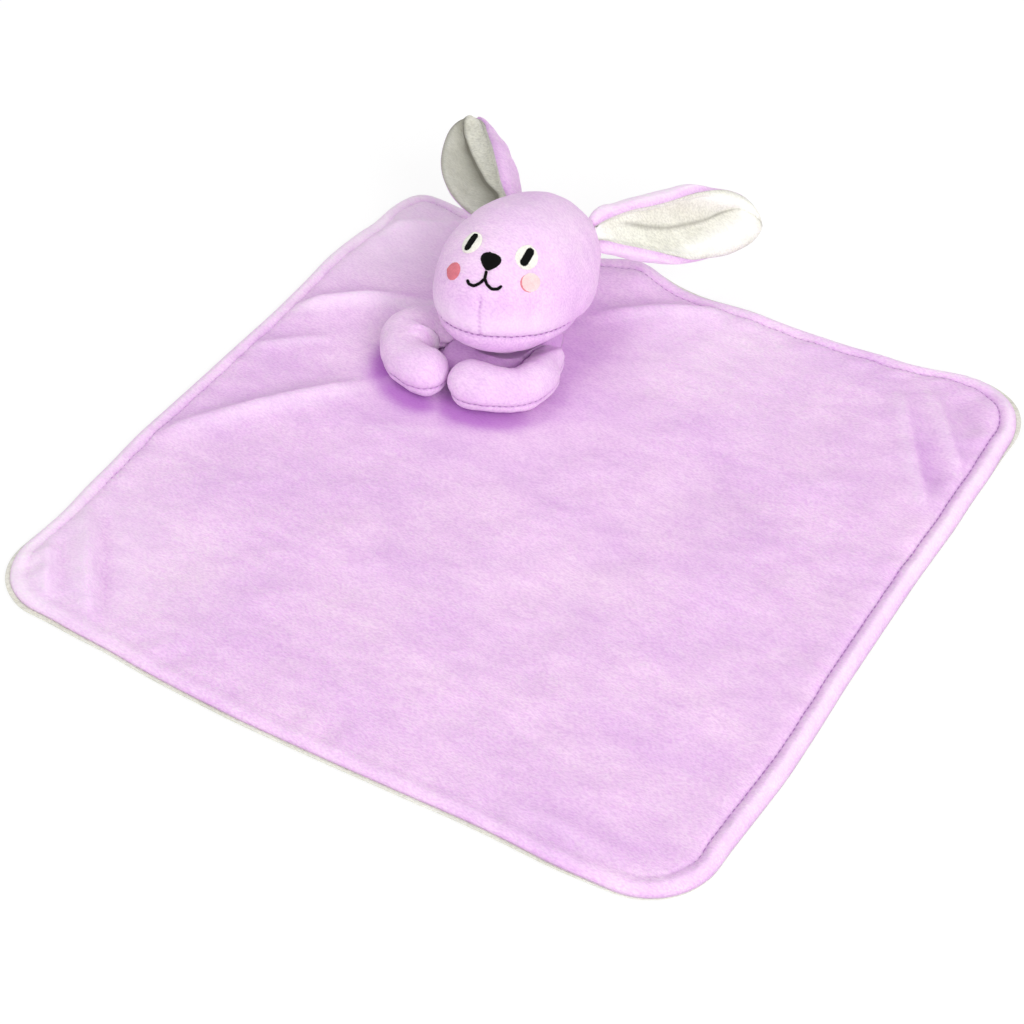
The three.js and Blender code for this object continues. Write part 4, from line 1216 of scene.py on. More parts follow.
class COMFORTER_OT_face(Operator):
    """Embroiders the eyes, nose, mouth and cheeks"""

    bl_idname = "comforter.face"
    bl_label = "Face embroidery"

    def execute(self, context):
        sizes = context.scene.comforter_toy
        for side, sign in (("left", 1), ("right", -1)):
            spot = face_spot(sign * EYE["across"], EYE["up"] - sign * EYE["lean"], sizes)
            shape = oval(*EYE["size"])
            embroidered(side + "_eye", side + "_eye_white", spot, shape, EYE["satin"], "white_thread", sizes)
            shape = bar(*PUPIL["size"], PUPIL["lean"])
            way = PUPIL["satin"]
            embroidered(side + "_pupil", side + "_eye_pupil", spot, shape, way, "black_thread", sizes)
            spot = face_spot(sign * CHEEK["across"], CHEEK["up"], sizes)
            shape = oval(*CHEEK["size"])
            finish, way = CHEEK_SATIN[side]
            embroidered(side + "_blush", side + "_cheek", spot, shape, way, finish, sizes)
        spot = face_spot(CHEEK_EDGE["across"], CHEEK_EDGE["up"], sizes)
        shape = oval(*CHEEK_EDGE["size"])
        edge = embroidered_pad("left_blush_edge", spot, shape, -0.05, 0.1, "rose_thread", sizes)
        settle(edge, "head", "rose_thread")
        spot = face_spot(NOSE["across"], NOSE["up"], sizes)
        shape = nose_shape(*NOSE["size"])
        embroidered("nose", "nose_embroidery", spot, shape, NOSE["satin"], "black_thread", sizes)
        mouth = threaded("mouth", mouth_strands(sizes), "black_thread", sizes.mouth * 0.5)
        settle(mouth, "head", "black_thread", "mouth_embroidery")
        return {"FINISHED"}


# Ears, each in its own frame: across it, out of its lining and along it from root to tip.
# For each ear: stations along it, and five lines over its leaf from edge to edge, each with its
# places across and out of the ear at the stations; then where the five lines lie in the leaf's width,
# between which of its edges the back is fuller, how much painted shade lies on one half of the lining,
# and how much painted light lies near its rim.

EARS = {
    "left": {
        "across": (0.3541, -0.48, -0.8026),
        "facing": (0.6613, -0.4783, 0.5779),
        "along": (0.6613, 0.7354, -0.148),
        "stations": [-8, -3, 3, 11, 20, 30, 40, 50, 60, 68, 74, 78, 79.5],
        "lines": [
            ([-3, -5.8, -8.1, -10.2, -11.4, -13.3, -15.7, -17.2, -17.2, -14.6, -10.4, -4.6, 1],
             [1, 3, 4.7, 6.1, 6.7, 6.4, 5.2, 3.4, 1.8, 1.2, 0.4, 0, 0]),
            ([-4, -9.2, -10.1, -11.9, -13.4, -14.6, -15.9, -14.6, -12.3, -11.2, -7.6, -3, 1],
             [0, -0.4, -0.8, -0.8, -0.6, -0.4, -0.1, -0.4, -1, -0.9, -0.4, -0.1, 0]),
            ([0, -3.4, -4.4, -3.7, -1.9, -0.8, -1.8, -3.5, -6.6, -7.6, -5, -1.4, 1],
             [-1, -1.9, -2.6, -3.4, -4.3, -5, -5, -4.6, -3.4, -2.3, -1.1, -0.2, 0]),
            ([3.7, 5.7, 7.1, 9.7, 11.2, 11.9, 10, 6.3, 3.4, 1.4, 1.8, 1.6, 1],
             [0, -0.4, -0.8, -1, -1, -1, -1.3, -2, -1, -0.6, -0.3, -0.1, 0]),
            ([3, 3.5, 5.5, 7.5, 9.9, 12.7, 15.2, 14.9, 14, 11.4, 8.4, 4.5, 1],
             [1, 3.7, 6, 6.7, 6.6, 5.7, 4.2, 2.6, 1, 0.4, 0, 0, 0]),
        ],
        "places": [-1, -0.5, 0, 0.5, 1],
        "full": (-2, -1),
        "shade": 0.0,
        "brushed": 0.7,
    },
    "right": {
        "across": (0.7769, 0.6115, 0.1498),
        "facing": (-0.1008, -0.1141, 0.9883),
        "along": (-0.6215, 0.783, 0.027),
        "stations": [-5, 0, 8, 16, 26, 36, 46, 56, 65, 72, 77, 79.5],
        "lines": [
            ([-6, -10, -14.8, -18.4, -20.5, -20.4, -18.9, -16.8, -14.3, -11.4, -7.6, -3],
             [0, 0, 1.2, 3.3, 5.8, 7, 6.5, 4.9, 3.2, 1.7, 0.6, 0]),
            ([-2.5, -3.5, -6, -8.1, -11, -11.9, -11.8, -11.2, -10.2, -8.7, -6.2, -3],
             [-0.5, -1.2, -2.4, -2.5, -1.7, -1.6, -2.2, -2.5, -2.1, -1.9, -0.4, 0]),
            ([2, 4, 3.8, 3.2, -0.5, -2.4, -3.9, -5.2, -6, -6.5, -5.5, -3],
             [-1, -1, -2.6, -4.1, -4.8, -5.5, -6, -6, -5, -4.1, -1, 0]),
            ([5, 12.5, 11.9, 12.4, 12.2, 10.9, 9.3, 7.4, 5.1, 2.9, -0.7, -3],
             [0, -1, -2, -2, -1.6, -0.9, -0.3, 0.3, 0.8, 0.8, 0.3, 0]),
            ([4, 8, 6.7, 6.4, 6.2, 5.9, 5.4, 4.9, 4.6, 2.9, 0.2, -3],
             [0, 2, 8.6, 11.1, 11.6, 11.5, 8.8, 6.2, 3.8, 2, 0.7, 0]),
        ],
        "places": [-1, -0.5, 0, 0.55, 1],
        "full": (-0.2, 0.3),
        "shade": 0.92,
        "brushed": 0.0,
    },
}
EAR_ROWS = 90
EAR_EDGE = np.linspace(-1, 1, 49)
# How far the two layers' outsides and insides at least lie from the leaf between them
EAR_OUTSIDE = 0.1
EAR_INSIDE = 0.08


def through(keys, places, wanted):
    """Smooth curves through rows of keys at given places, at the wanted places."""
    keys = np.asarray(keys, float)
    places = np.asarray(places, float)
    column = (-1, *[1] * (keys.ndim - 1))
    ahead = np.minimum(np.arange(len(keys)) + 1, len(keys) - 1)
    behind = np.maximum(np.arange(len(keys)) - 1, 0)
    slope = (keys[ahead] - keys[behind]) / (places[ahead] - places[behind]).reshape(column)
    k = np.clip(np.searchsorted(places, wanted) - 1, 0, len(keys) - 2)
    step = (places[k + 1] - places[k]).reshape(column)
    t = (wanted - places[k]).reshape(column) / step
    rise = t * t * (3 - 2 * t)
    bend = t * (1 - t) ** 2 * slope[k] - t * t * (1 - t) * slope[k + 1]
    return (1 - rise) * keys[k] + rise * keys[k + 1] + step * bend


def ear_leaf(ear):
    """The surface between an ear's two layers, its normals on the lining's side and its rows' places."""
    share = 1 - (1 - np.linspace(0, 1, EAR_ROWS + 1)) ** 1.4
    run = ear["stations"][0] + (ear["stations"][-1] - ear["stations"][0]) * share
    lines = [through(np.transpose(line), ear["stations"], run) for line in ear["lines"]]
    leaf = through(lines, ear["places"], EAR_EDGE).transpose(1, 0, 2)
    along = np.broadcast_to(run[:, None, None], (*leaf.shape[:2], 1))
    leaf = np.concatenate([leaf, along], axis=2)
    normal = np.cross(np.gradient(leaf, axis=0), np.gradient(leaf, axis=1))
    normal /= np.maximum(np.linalg.norm(normal, axis=2), 1e-9)[:, :, None]
    return leaf, normal * np.sign(normal[EAR_ROWS // 2, len(EAR_EDGE) // 2, 1]), run


def ear_depths(ear, leaf, run, width, plush_depth):
    """How far the lining and the back stand out of an ear's leaf, and how near its rim a point is."""
    gap = np.minimum((1 - abs(EAR_EDGE)) * width[:, None] / 2, 0.8 * (run[-1] - run)[:, None])
    swell = np.sqrt(1 - (1 - np.clip(gap / 4, 0, 1)) ** 2)
    lumps = waviness(leaf.reshape(-1, 3), 15, 41).reshape(swell.shape)
    full = smooth(*ear["full"], EAR_EDGE) * smooth(68, 40, run)[:, None]
    lining = swell * (plush_depth + 0.3 * lumps)
    back = swell * (0.7 * plush_depth + 0.8 * plush_depth * full + 0.2 * lumps)
    return lining, back, gap


class COMFORTER_OT_ears(Operator):
    """Makes the ears' lilac backs and grey linings"""

    bl_idname = "comforter.ears"
    bl_label = "Ears"

    def execute(self, context):
        sizes = context.scene.comforter_toy
        for name, ear in EARS.items():
            root = pivot(name + "_ear_flop")
            axes = np.array([ear["across"], ear["facing"], ear["along"]])
            leaf, normal, run = ear_leaf(ear)
            width = np.linalg.norm(np.diff(leaf, axis=1), axis=2).sum(axis=1)
            lining, back, gap = ear_depths(ear, leaf, run, width, sizes.ear_plush / MM)
            fold = EAR_EDGE * width[:, None] / 2
            # Painted shading: painted shade along the layers' rims, in the lining's fold and over one half of
            # the lining where shade is set; painted light near the rims where brushed is set
            rim = 0.3 * bell(gap, 0, 0.7) - ear["brushed"] * bell(gap, 6, 5)
            crease = rim + 0.55 * bell(fold, 0, 1.1) * smooth(2, 14, run)[:, None]
            crease += ear["shade"] * smooth(2, -1, fold) * (0.42 + 0.58 * bell(fold, 0, 8))
            layers = (("lining", 1, lining, "grey_plush", crease), ("back", -1, back, "lilac_plush", rim))
            for layer, sign, depth, finish, shade in layers:
                outer = leaf + sign * normal * (EAR_OUTSIDE + depth)[:, :, None]
                inner = leaf + sign * normal * EAR_INSIDE
                outer, inner = (skin.reshape(-1, 3) @ axes + root for skin in (outer, inner))
                points, walls = thickened(outer, grid_faces(*gap.shape).tolist(), inner)
                obj = piece(f"{name}_ear_{layer}_plush", points, walls, finish, np.tile(shade.ravel(), 2))
                settle(obj, name + "_ear", finish, f"{name}_ear_{layer}")
        return {"FINISHED"}


# Arms, each from its shoulder outwards, forwards and in again to the paw: its side and its route, how much
# its shoulder is spread and how far the inside of its bend is filled out

ARM_ROUTES = {
    "left": (1, [(-4, 2), (-0.9, -6), (2.3, -14), (0.6, -25), (-9.6, -33), (-19.6, -36.4)]),
    "right": (-1, [(0, 0), (5.4, -5), (11.4, -17), (3.4, -29), (-8.6, -33), (-13.1, -33)]),
}
ARM_SPREAD = {"left": 0.0, "right": 1.2}
ARM_FILL = {"left": 0.8, "right": 8.5}
# Height of the seam, and its stitches: spacing, length and thread in metres
ARM_SEAM = 15.0
ARM_STITCHES = (0.0029, 0.0018, 0.00055)
ARM_SIDES = 44
ARM_STEPS = 60
# Turns and nods of the head, in degrees, that the pieces under it leave room for
HEAD_POSES = [(0, 0), (-25, 0), (25, 0), (0, -8), (0, 5), (-25, -8), (25, 5)]
# How softly an arm is pressed under the head, and the gaps that the arms and the chest keep
PRESS_WIDTH = 5.0
ARM_LIFT = 0.35
ARM_UNDER_HEAD = 0.9
CHEST_UNDER_HEAD = 0.6
CHEST_UNDER_ARMS = 0.5


def head_underside(flat, sizes):
    """Lowest height of the head over places of the blanket, however it moves; infinity outside it."""
    radii = head_radii(sizes)
    spots = at_zero(flat - HEAD_MIDDLE[:2])
    heading = np.array(Matrix.Rotation(BODY_HEADING, 3, "Z"))
    lowest = np.full(len(flat), np.inf)
    for turn, nod in HEAD_POSES:
        back = (joint_turn("head_turn", turn) @ joint_turn("head_nod", nod) @ heading).T
        place = spots @ back.T / radii
        down = back @ np.array([0, 0, -1]) / radii
        along = place @ down
        inside = along**2 - (down @ down) * ((place**2).sum(1) - 1)
        depth = (np.sqrt(np.maximum(inside, 0)) - along) / (down @ down)
        level = HEAD_MIDDLE[2] - depth - head_sag((place + depth[:, None] * down) * radii)
        lowest = np.where(inside > 0, np.minimum(lowest, level), lowest)
    return lowest


def arm_line(name):
    """The middle line of an arm seen from above, in even steps."""
    side, route = ARM_ROUTES[name]
    keys = np.array(route) * (side, 1)
    ends = np.vstack([2 * keys[0] - keys[1], keys, 2 * keys[-1] - keys[-2]])
    t = np.linspace(0, 1, 40, endpoint=False)[:, None]
    path = []
    for k in range(1, len(keys)):
        a, b, c, d = ends[k - 1 : k + 3]
        curve = 2 * b + (c - a) * t + (2 * a - 5 * b + 4 * c - d) * t**2 + (3 * b - a - 3 * c + d) * t**3
        path.append(0.5 * curve)
    path = np.vstack([*path, keys[-1:]])
    run = np.concatenate([[0], np.cumsum(np.linalg.norm(np.diff(path, axis=0), axis=1))])
    even = np.linspace(0, run[-1], ARM_STEPS + 1)
    return np.stack([np.interp(even, run, path[:, k]) for k in range(2)], 1)


def pressed_under(height, limit):
    """Heights kept under a limit, with a soft shoulder below it."""
    limit = np.minimum(limit, 200)
    share = np.clip(0.5 + (limit - height) / PRESS_WIDTH, 0, 1)
    return limit + (height - limit) * share - PRESS_WIDTH / 2 * share * (1 - share)


def arm_tube(name, sizes):
    """The plain stuffed arm at its shoulder's place: points, faces and its middle line with its radius."""
    line = arm_line(name)
    along = unit(np.gradient(line, axis=0))
    across = along[:, ::-1] * (1, -1)
    shoulder, elbow, paw = (x / MM for x in (sizes.shoulder, sizes.elbow, sizes.paw))
    share = np.linspace(0, 1, ARM_STEPS + 1)
    upper = shoulder + (elbow - shoulder) * smooth(0, 0.42, share)
    radius = np.where(share < 0.5, upper, elbow + (paw - elbow) * smooth(0.5, 1, share))
    spread = ARM_SPREAD[name] * sizes.shoulder_spread / MM * (1 - smooth(0, 0.55, share))
    caps = np.linspace(-math.pi / 2, 0, 10)[:-1]
    tilt = np.concatenate([caps, 0 * share, -caps[::-1]])[:, None]
    k = np.clip(np.arange(len(tilt)) - len(caps), 0, ARM_STEPS)
    thick, wider = radius[k, None], spread[k, None]
    middle = line[k] + along[k] * thick * np.sin(tilt) - ARM_ROUTES[name][0] * across[k] * wider * 0.5
    turn = (np.arange(ARM_SIDES) + 0.5) / ARM_SIDES * 2 * math.pi
    size = thick * np.cos(tilt)
    sides = size * (1 + wider / thick) * np.cos(turn)
    below = 1 - 0.2 * (1 - smooth(0.05, 0.5, share))[k, None]
    height = thick + size * np.sin(turn) * np.where(np.sin(turn) < 0, below, 1)
    rings = np.dstack([middle[:, None] + sides[:, :, None] * across[k][:, None], height])[1:-1]
    tips = np.hstack([middle, thick])[[0, -1]]
    points = np.vstack([rings.reshape(-1, 3), tips])
    return points, capped_tube(len(rings), ARM_SIDES), np.column_stack([line, radius])


def arm_skin(name, sizes):
    """The stuffed arm's skin in place, pressed under the head: points, faces and its middle line."""
    points, faces, core = arm_tube(name, sizes)
    joint = name + "_arm_swing"
    place = np.array([*pivot(joint)[:2], TOP_LEVEL + ARM_LIFT])
    points, core = (turned(x, BODY_HEADING) + place for x in (points, core))
    limit = np.full(len(points), np.inf)
    for degrees in JOINTS[joint]["range_deg"]:
        moved = swung(points, joint, degrees)
        limit = np.minimum(limit, head_underside(moved[:, :2], sizes) - moved[:, 2] + points[:, 2])
    points[:, 2] = pressed_under(points[:, 2], np.maximum(limit - ARM_UNDER_HEAD, ARM_SEAM + 1.5))
    return points, faces, core


def around_core(points, core, name):
    """For points of an arm: the share of its length, the way inwards and how far they face its bend."""
    gaps = np.linalg.norm(points[:, None, :] - core[None, :, :], axis=2)
    nearest = np.argmin(gaps, axis=1)
    inward = unit(core[nearest] - points)
    along = unit(np.gradient(core, axis=0))
    bend = np.cross(along[nearest], [0, 0, 1]) * ARM_ROUTES[name][0]
    return nearest / (len(core) - 1), inward, np.einsum("ij,ij->i", -inward, bend)


def outer_side(points, core, name):
    """Which points lie on the outer side of the arm or round its paw."""
    share, _, facing = around_core(points, core, name)
    return (share > 0.05) & ((facing < 0.3) | (share > 0.98))


def arm_swell(points, core, name):
    """The stuffed form of an arm: seam drawn in, folds inside its bend and lumps; and its way inwards."""
    share, inward, facing = around_core(points, core, name)
    swell = -0.75 * bell(points[:, 2], ARM_SEAM, 1.0) - 0.35 * bell(points[:, 2], ARM_SEAM, 3.0)
    hollow = np.clip(facing, 0, 1) ** 1.5
    at_bend = bell(share, 0.5, 0.2)
    creases = np.cos(share * 2 * math.pi * 9 + 1.2 * points[:, 2] / 10)
    swell += hollow * at_bend * (0.55 * creases - 0.7)
    swell += hollow * ARM_FILL[name] * bell(share, 0.47, 0.15)
    swell += 0.22 * waviness(points, 18, 51) + 0.08 * waviness(points, 7, 52)
    rest = smooth(9.5, 6.6, points[:, 2])
    return swell * (1 - 0.8 * rest), inward


def swollen_arm(name, sizes):
    """The stuffed arm's outside: points and faces."""
    skin, faces, core = arm_skin(name, sizes)
    swell, inward = arm_swell(skin, core, name)
    return skin - inward * swell[:, None], faces


def seam_line(points, core):
    """The seam's points in order from the shoulder to the paw and round it."""
    rest = list(range(len(points)))
    order = [rest.pop(int(np.argmin(np.linalg.norm(points[:, :2] - core[0, :2], axis=1))))]
    while rest:
        gaps = np.linalg.norm(points[rest] - points[order[-1]], axis=1)
        order.append(rest.pop(int(np.argmin(gaps))))
    line = [points[order[0]]]
    for point in points[order]:
        if np.linalg.norm(point - line[-1]) > 0.5:
            line.append(point)
    return np.array(line) + np.array([0, 0, 0.05])


class COMFORTER_OT_arms(Operator):
    """Makes the arms' sewn panels and the stitches in their seams"""

    bl_idname = "comforter.arms"
    bl_label = "Arms"

    def execute(self, context):
        sizes = context.scene.comforter_toy
        cut = np.array([0, 0, ARM_SEAM])
        up = np.array([0, 0, 1])
        for name in ARM_ROUTES:
            skin, faces, core = arm_skin(name, sizes)
            for part, way in (("upper", up), ("lower", -up)):
                points, sides = half_shell(skin, faces, cut, way)
                swell, inward = arm_swell(points, core, name)
                outer = points - inward * swell[:, None]
                inner = points + inward * (sizes.cover / MM - 0.6 * swell)[:, None]
                shell, walls = thickened(outer, sides, inner)
                # Painted shade along the seam, and a little painted light over the rest of the panel
                crease = np.tile(0.45 * bell(points[:, 2], ARM_SEAM, 0.7) - 0.12, 2)
                panel = piece(f"{name}_arm_{part}", shell, walls, "lilac_plush", crease)
                settle(panel, name + "_arm", "lilac_plush", f"{name}_arm_{part}_panel")
                if part == "upper":
                    shown = (abs(points[:, 2] - ARM_SEAM) < 0.03) & outer_side(points, core, name)
                    seam = seam_line(outer[shown], core)
            stitches = stitched(f"{name}_arm_stitches", [(seam, False)], *ARM_STITCHES)
            settle(stitches, name + "_arm", "lilac_thread")
        return {"FINISHED"}


# Torso and filling

TORSO_MIDDLE = np.array([-55.3, 77.4])
TORSO_BORE = 8.7
TORSO_LEFT = 21.2
TORSO_RIGHT = 32.0
TORSO_ENDS = 35.0
TORSO_RINGS = 44
TORSO_SECTORS = 120
# Painted shade over the whole chest, which lies under the head
TORSO_PAINTED_SHADE = 0.42
CHEST_RISE = 16.5
FILLING_WAVE = 7
FILLING_GAP = 0.75
# Steps aside at which a cover over the chest is felt for
BESIDE = 1.2


def lowest_over(flat, points, faces):
    """Lowest height of a cover over places of the blanket or close beside them, and infinity elsewhere."""
    tree = BVHTree.FromPolygons(points.tolist(), faces)
    lowest = np.full(len(flat), np.inf)
    for step in ((0, 0), (1, 0), (-1, 0), (0, 1), (0, -1)):
        for k, (x, y) in enumerate(flat + BESIDE * np.array(step)):
            hit = tree.ray_cast((x, y, -50), (0, 0, 1))[0]
            if hit is not None:
                lowest[k] = min(lowest[k], hit.z)
    return lowest


def torso_reach(across):
    """How far the torso reaches to its left or its right."""
    return np.where(across > 0, TORSO_LEFT, TORSO_RIGHT)


def chest_height(flat, sizes):
    """Height of the chest: a soft dome that stays under the head and the arms, however they move."""
    local = turned(at_zero(flat - TORSO_MIDDLE), -BODY_HEADING)
    share = np.clip(np.hypot(local[:, 0] / torso_reach(local[:, 0]), local[:, 1] / TORSO_ENDS), 0, 1)
    dome = TOP_LEVEL + 0.3 + CHEST_RISE * np.maximum(1 - share**2.6, 0) ** 0.5
    dome = np.minimum(dome, head_underside(flat, sizes) - CHEST_UNDER_HEAD)
    for name in ARM_ROUTES:
        points, faces = swollen_arm(name, sizes)
        joint = name + "_arm_swing"
        for degrees in np.linspace(*JOINTS[joint]["range_deg"], 3):
            under = lowest_over(flat, swung(points, joint, degrees), faces)
            dome = np.minimum(dome, under - CHEST_UNDER_ARMS)
    return np.maximum(dome, TOP_LEVEL + 0.1)


class COMFORTER_OT_torso(Operator):
    """Makes the small torso under the head"""

    bl_idname = "comforter.torso"
    bl_label = "Torso"

    def execute(self, context):
        sizes = context.scene.comforter_toy
        turn = np.arange(TORSO_SECTORS) / TORSO_SECTORS * 2 * math.pi
        way = np.stack([np.cos(turn), np.sin(turn)], 1)
        bore = HEAD_MIDDLE[:2] + TORSO_BORE * turned(at_zero(way), BODY_HEADING)[:, :2]
        reach = np.column_stack([way[:, 0] * torso_reach(way[:, 0]), way[:, 1] * TORSO_ENDS])
        rim = TORSO_MIDDLE + turned(at_zero(reach), BODY_HEADING)[:, :2]
        steps = (np.arange(TORSO_RINGS) / (TORSO_RINGS - 1)) ** 0.85
        flat = (bore + (rim - bore) * steps[:, None, None]).reshape(-1, 2)
        chest = np.column_stack([flat, chest_height(flat, sizes)])
        lumps = 0.2 * waviness(chest, 12, 61)
        chest[:, 2] += np.minimum(lumps, 0) * np.clip(chest[:, 2] - TOP_LEVEL - 0.8, 0, 1)
        base = np.array([0, 0, TOP_LEVEL - 0.05])
        points = np.vstack([chest, at_zero(rim) + base, at_zero(bore) + base])
        faces = grid_faces(TORSO_RINGS + 2, TORSO_SECTORS, True).tolist()
        last = (TORSO_RINGS + 1) * TORSO_SECTORS
        for k in range(TORSO_SECTORS):
            n = (k + 1) % TORSO_SECTORS
            faces.append((last + k, last + n, n, k))
        obj = piece("torso_plush", points, faces, "lilac_plush", np.full(len(points), TORSO_PAINTED_SHADE))
        settle(obj, "blanket", "lilac_plush", "torso")
        return {"FINISHED"}


def finer_copy(name, node):
    """A copy of a solid with its corners joined and its faces split."""
    mesh = bmesh.new()
    mesh.from_mesh(frame["nodes"][node].data)
    bmesh.ops.remove_doubles(mesh, verts=mesh.verts, dist=1e-5)
    copy = bpy.data.meshes.new(name)
    mesh.to_mesh(copy)
    mesh.free()
    obj = placed(name, copy)
    finer = obj.modifiers.new("finer", "SUBSURF")
    finer.subdivision_type = "SIMPLE"
    finer.levels = 2
    finer.render_levels = 2
    return baked(obj)


def head_room(points):
    """How far the head's filling keeps out of the flat underside and off the ears' roots."""
    roots = [np.linalg.norm(points - pivot(name + "_ear_flop"), axis=1) for name in EARS]
    return head_sag(points - HEAD_MIDDLE) - 5 * sum(bell(gap, 0, 10) for gap in roots)


class COMFORTER_OT_filling(Operator):
    """Makes the loose filling inside the head, neck and arms"""

    bl_idname = "comforter.filling"
    bl_label = "Filling"

    def execute(self, context):
        sizes = context.scene.comforter_toy
        for seed, name in enumerate(("head", "neck")):
            obj = finer_copy(name + "_filling", name + "_stuffing")
            mesh = obj.data
            points = np.array([v.co for v in mesh.vertices]) / MM
            normals = np.array([v.normal for v in mesh.vertices])
            swell = 0.35 * waviness(points, FILLING_WAVE, 70 + seed) - FILLING_GAP
            if name == "head":
                swell += head_room(points)
            places = points + normals * swell[:, None]
            mesh.vertices.foreach_set("co", (places * MM).astype(np.float32).ravel())
            mesh.polygons.foreach_set("use_smooth", [True] * len(mesh.polygons))
            mesh.materials.clear()
            mesh.materials.append(finish_of("fibre_filling"))
            mesh.update()
            settle(obj, name, "fibre_filling", name + "_stuffing")
        for name in ARM_ROUTES:
            skin, faces, core = arm_skin(name, sizes)
            inward = around_core(skin, core, name)[1]
            deep = sizes.cover / MM + 0.9 + 0.3 * waviness(skin, FILLING_WAVE, 75)
            obj = piece(f"{name}_arm_filling", skin + inward * deep[:, None], faces, "fibre_filling")
            settle(obj, name + "_arm", "fibre_filling", f"{name}_arm_stuffing")
        return {"FINISHED"}


# Studio

FLOOR_REACH = 3000.0
FLOOR_LEVEL = -0.2
LAMP_AIM = np.array([0, 0, 0.02])
# Each lamp's size, place and tint; its power is the setting of the same name
LAMPS = {
    "key": (1.8, (2.0, -1.5, 1.75), (1, 0.99, 0.97)),
    "fill": (2.0, (-1.1, -1.0, 2.7), (1, 0.99, 1)),
}
CAMERA_AIM = np.array([0.0004, -0.01045, 0])
CAMERA_SENSOR = 36


def aimed(obj, place, back, roll=0.0):
    """Stands an object at a place with its back in a direction, tilted by a roll."""
    back = unit(back)
    level = unit(np.cross([0, 0, 1], back))
    upright = np.cross(back, level)
    right = math.cos(roll) * level + math.sin(roll) * upright
    up = math.cos(roll) * upright - math.sin(roll) * level
    axes = np.column_stack([right, up, back])
    obj.matrix_world = Matrix.Translation(place) @ Matrix(axes.tolist()).to_4x4()


class COMFORTER_OT_finishes(Operator):
    """Makes the materials of the cloth and threads"""

    bl_idname = "comforter.finishes"
    bl_label = "Finishes"

    def execute(self, context):
        shades = context.scene.comforter_finishes
        plush("lilac_plush", tuple(shades.lilac), tuple(shades.lilac_pale_and_painted_light), tuple(shades.lilac_pile_and_painted_shade))
        plush("grey_plush", tuple(shades.grey), tuple(shades.grey_pale_and_painted_light), tuple(shades.grey_pile_and_painted_shade))
        filling("fibre_filling", tuple(shades.fibre))
        sewing_thread("lilac_thread", tuple(shades.thread))
        satin("black_thread", tuple(shades.black), 0.8)
        satin("white_thread", tuple(shades.white), 0.6)
        satin("rose_thread", tuple(shades.rose), 0.55)
        satin("pale_pink_thread", tuple(shades.pink), 0.55)
        return {"FINISHED"}


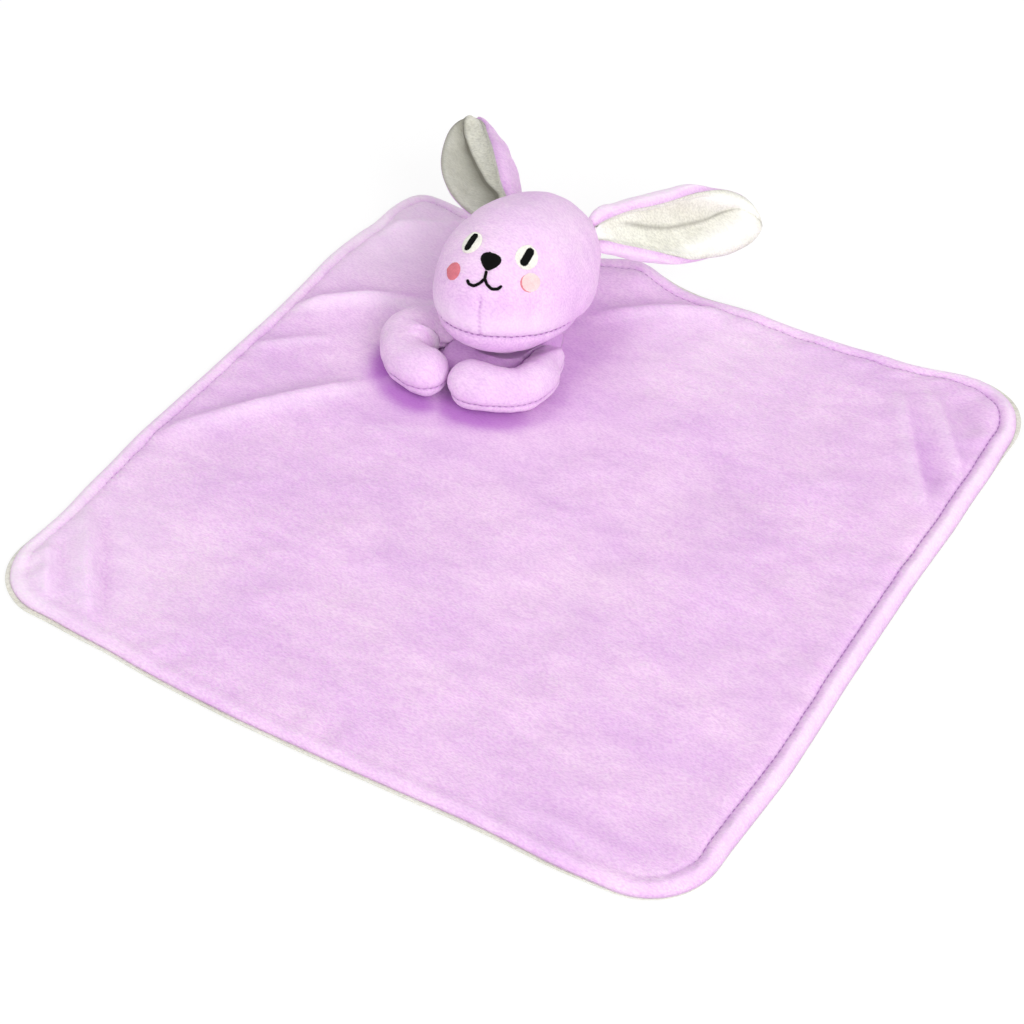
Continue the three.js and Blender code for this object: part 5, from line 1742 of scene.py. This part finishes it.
class COMFORTER_OT_stage(Operator):
    """Makes the floor, the light and the camera"""

    bl_idname = "comforter.stage"
    bl_label = "Stage"

    def execute(self, context):
        scene = context.scene
        studio = scene.comforter_studio
        floor_finish("studio_floor", tuple(studio.floor))
        corners = at_zero(FLOOR_REACH * np.array([(-1, -1), (1, -1), (1, 1), (-1, 1)]))
        corners[:, 2] = FLOOR_LEVEL
        floor = piece("floor", corners, [(0, 1, 2, 3)], "studio_floor", closed=False)
        world = bpy.data.worlds.new("studio")
        world.use_nodes = True
        tree = world.node_tree
        sky = tree.nodes["Background"]
        feed(tree, sky, {"Strength": studio.sky, "Color": (1, 1, 1, 1)})
        plain = new_node(tree, "ShaderNodeBackground", {"Color": (1, 1, 1, 1)})
        ends = {0: looked_at(tree), 1: sky.outputs["Background"], 2: plain.outputs["Background"]}
        blend = new_node(tree, "ShaderNodeMixShader", ends)
        feed(tree, tree.nodes["World Output"], {"Surface": blend.outputs["Shader"]})
        scene.world = world
        for name, (size, place, tint) in LAMPS.items():
            lamp = bpy.data.lights.new(name, "AREA")
            lamp.energy = getattr(studio, name)
            lamp.size = size
            lamp.color = tint
            aimed(placed(name, lamp), place, np.array(place) - LAMP_AIM)
        camera = bpy.data.cameras.new("camera")
        camera.lens = studio.lens
        camera.sensor_width = CAMERA_SENSOR
        az, el = studio.azimuth, studio.elevation
        back = np.array([math.sin(az) * math.cos(el), -math.cos(az) * math.cos(el), math.sin(el)])
        scene.camera = placed("camera", camera)
        aimed(scene.camera, CAMERA_AIM + back * studio.distance, back, studio.roll)
        scene.view_settings.view_transform = "Standard"
        return {"FINISHED"}


STEPS = (
    COMFORTER_OT_finishes,
    COMFORTER_OT_blanket,
    COMFORTER_OT_hem_topstitch,
    COMFORTER_OT_head,
    COMFORTER_OT_chin_stitches,
    COMFORTER_OT_face,
    COMFORTER_OT_ears,
    COMFORTER_OT_arms,
    COMFORTER_OT_torso,
    COMFORTER_OT_filling,
    COMFORTER_OT_stage,
)


GROUPS = {
    "comforter_blanket": BlanketSizes,
    "comforter_toy": ToySizes,
    "comforter_finishes": Finishes,
    "comforter_studio": StudioSettings,
}


class COMFORTER_PT_panel(Panel):
    """Lists the comforter's pieces and settings"""

    bl_idname = "COMFORTER_PT_panel"
    bl_label = "Comforter"
    bl_space_type = "VIEW_3D"
    bl_region_type = "UI"
    bl_category = "Comforter"

    def draw(self, context):
        layout = self.layout
        for step in STEPS:
            layout.operator(step.bl_idname)
        for group in GROUPS:
            settings = getattr(context.scene, group)
            box = layout.box()
            for name in settings.__annotations__:
                box.prop(settings, name)


def register():
    """Registers the settings, the operators and the panel."""
    for name, group in GROUPS.items():
        bpy.utils.register_class(group)
        setattr(bpy.types.Scene, name, PointerProperty(type=group))
    for step in STEPS:
        bpy.utils.register_class(step)
    bpy.utils.register_class(COMFORTER_PT_panel)


def unregister():
    """Takes the panel, the operators and the settings away again."""
    bpy.utils.unregister_class(COMFORTER_PT_panel)
    for step in reversed(STEPS):
        bpy.utils.unregister_class(step)
    for name, group in GROUPS.items():
        delattr(bpy.types.Scene, name)
        bpy.utils.unregister_class(group)


def main():
    """Builds every piece and the stage."""
    register()
    bpy.ops.comforter.finishes()
    bpy.ops.comforter.blanket()
    bpy.ops.comforter.hem_topstitch()
    bpy.ops.comforter.head()
    bpy.ops.comforter.chin_stitches()
    bpy.ops.comforter.face()
    bpy.ops.comforter.ears()
    bpy.ops.comforter.arms()
    bpy.ops.comforter.torso()
    bpy.ops.comforter.filling()
    bpy.ops.comforter.stage()


if __name__ == "__main__":
    main()
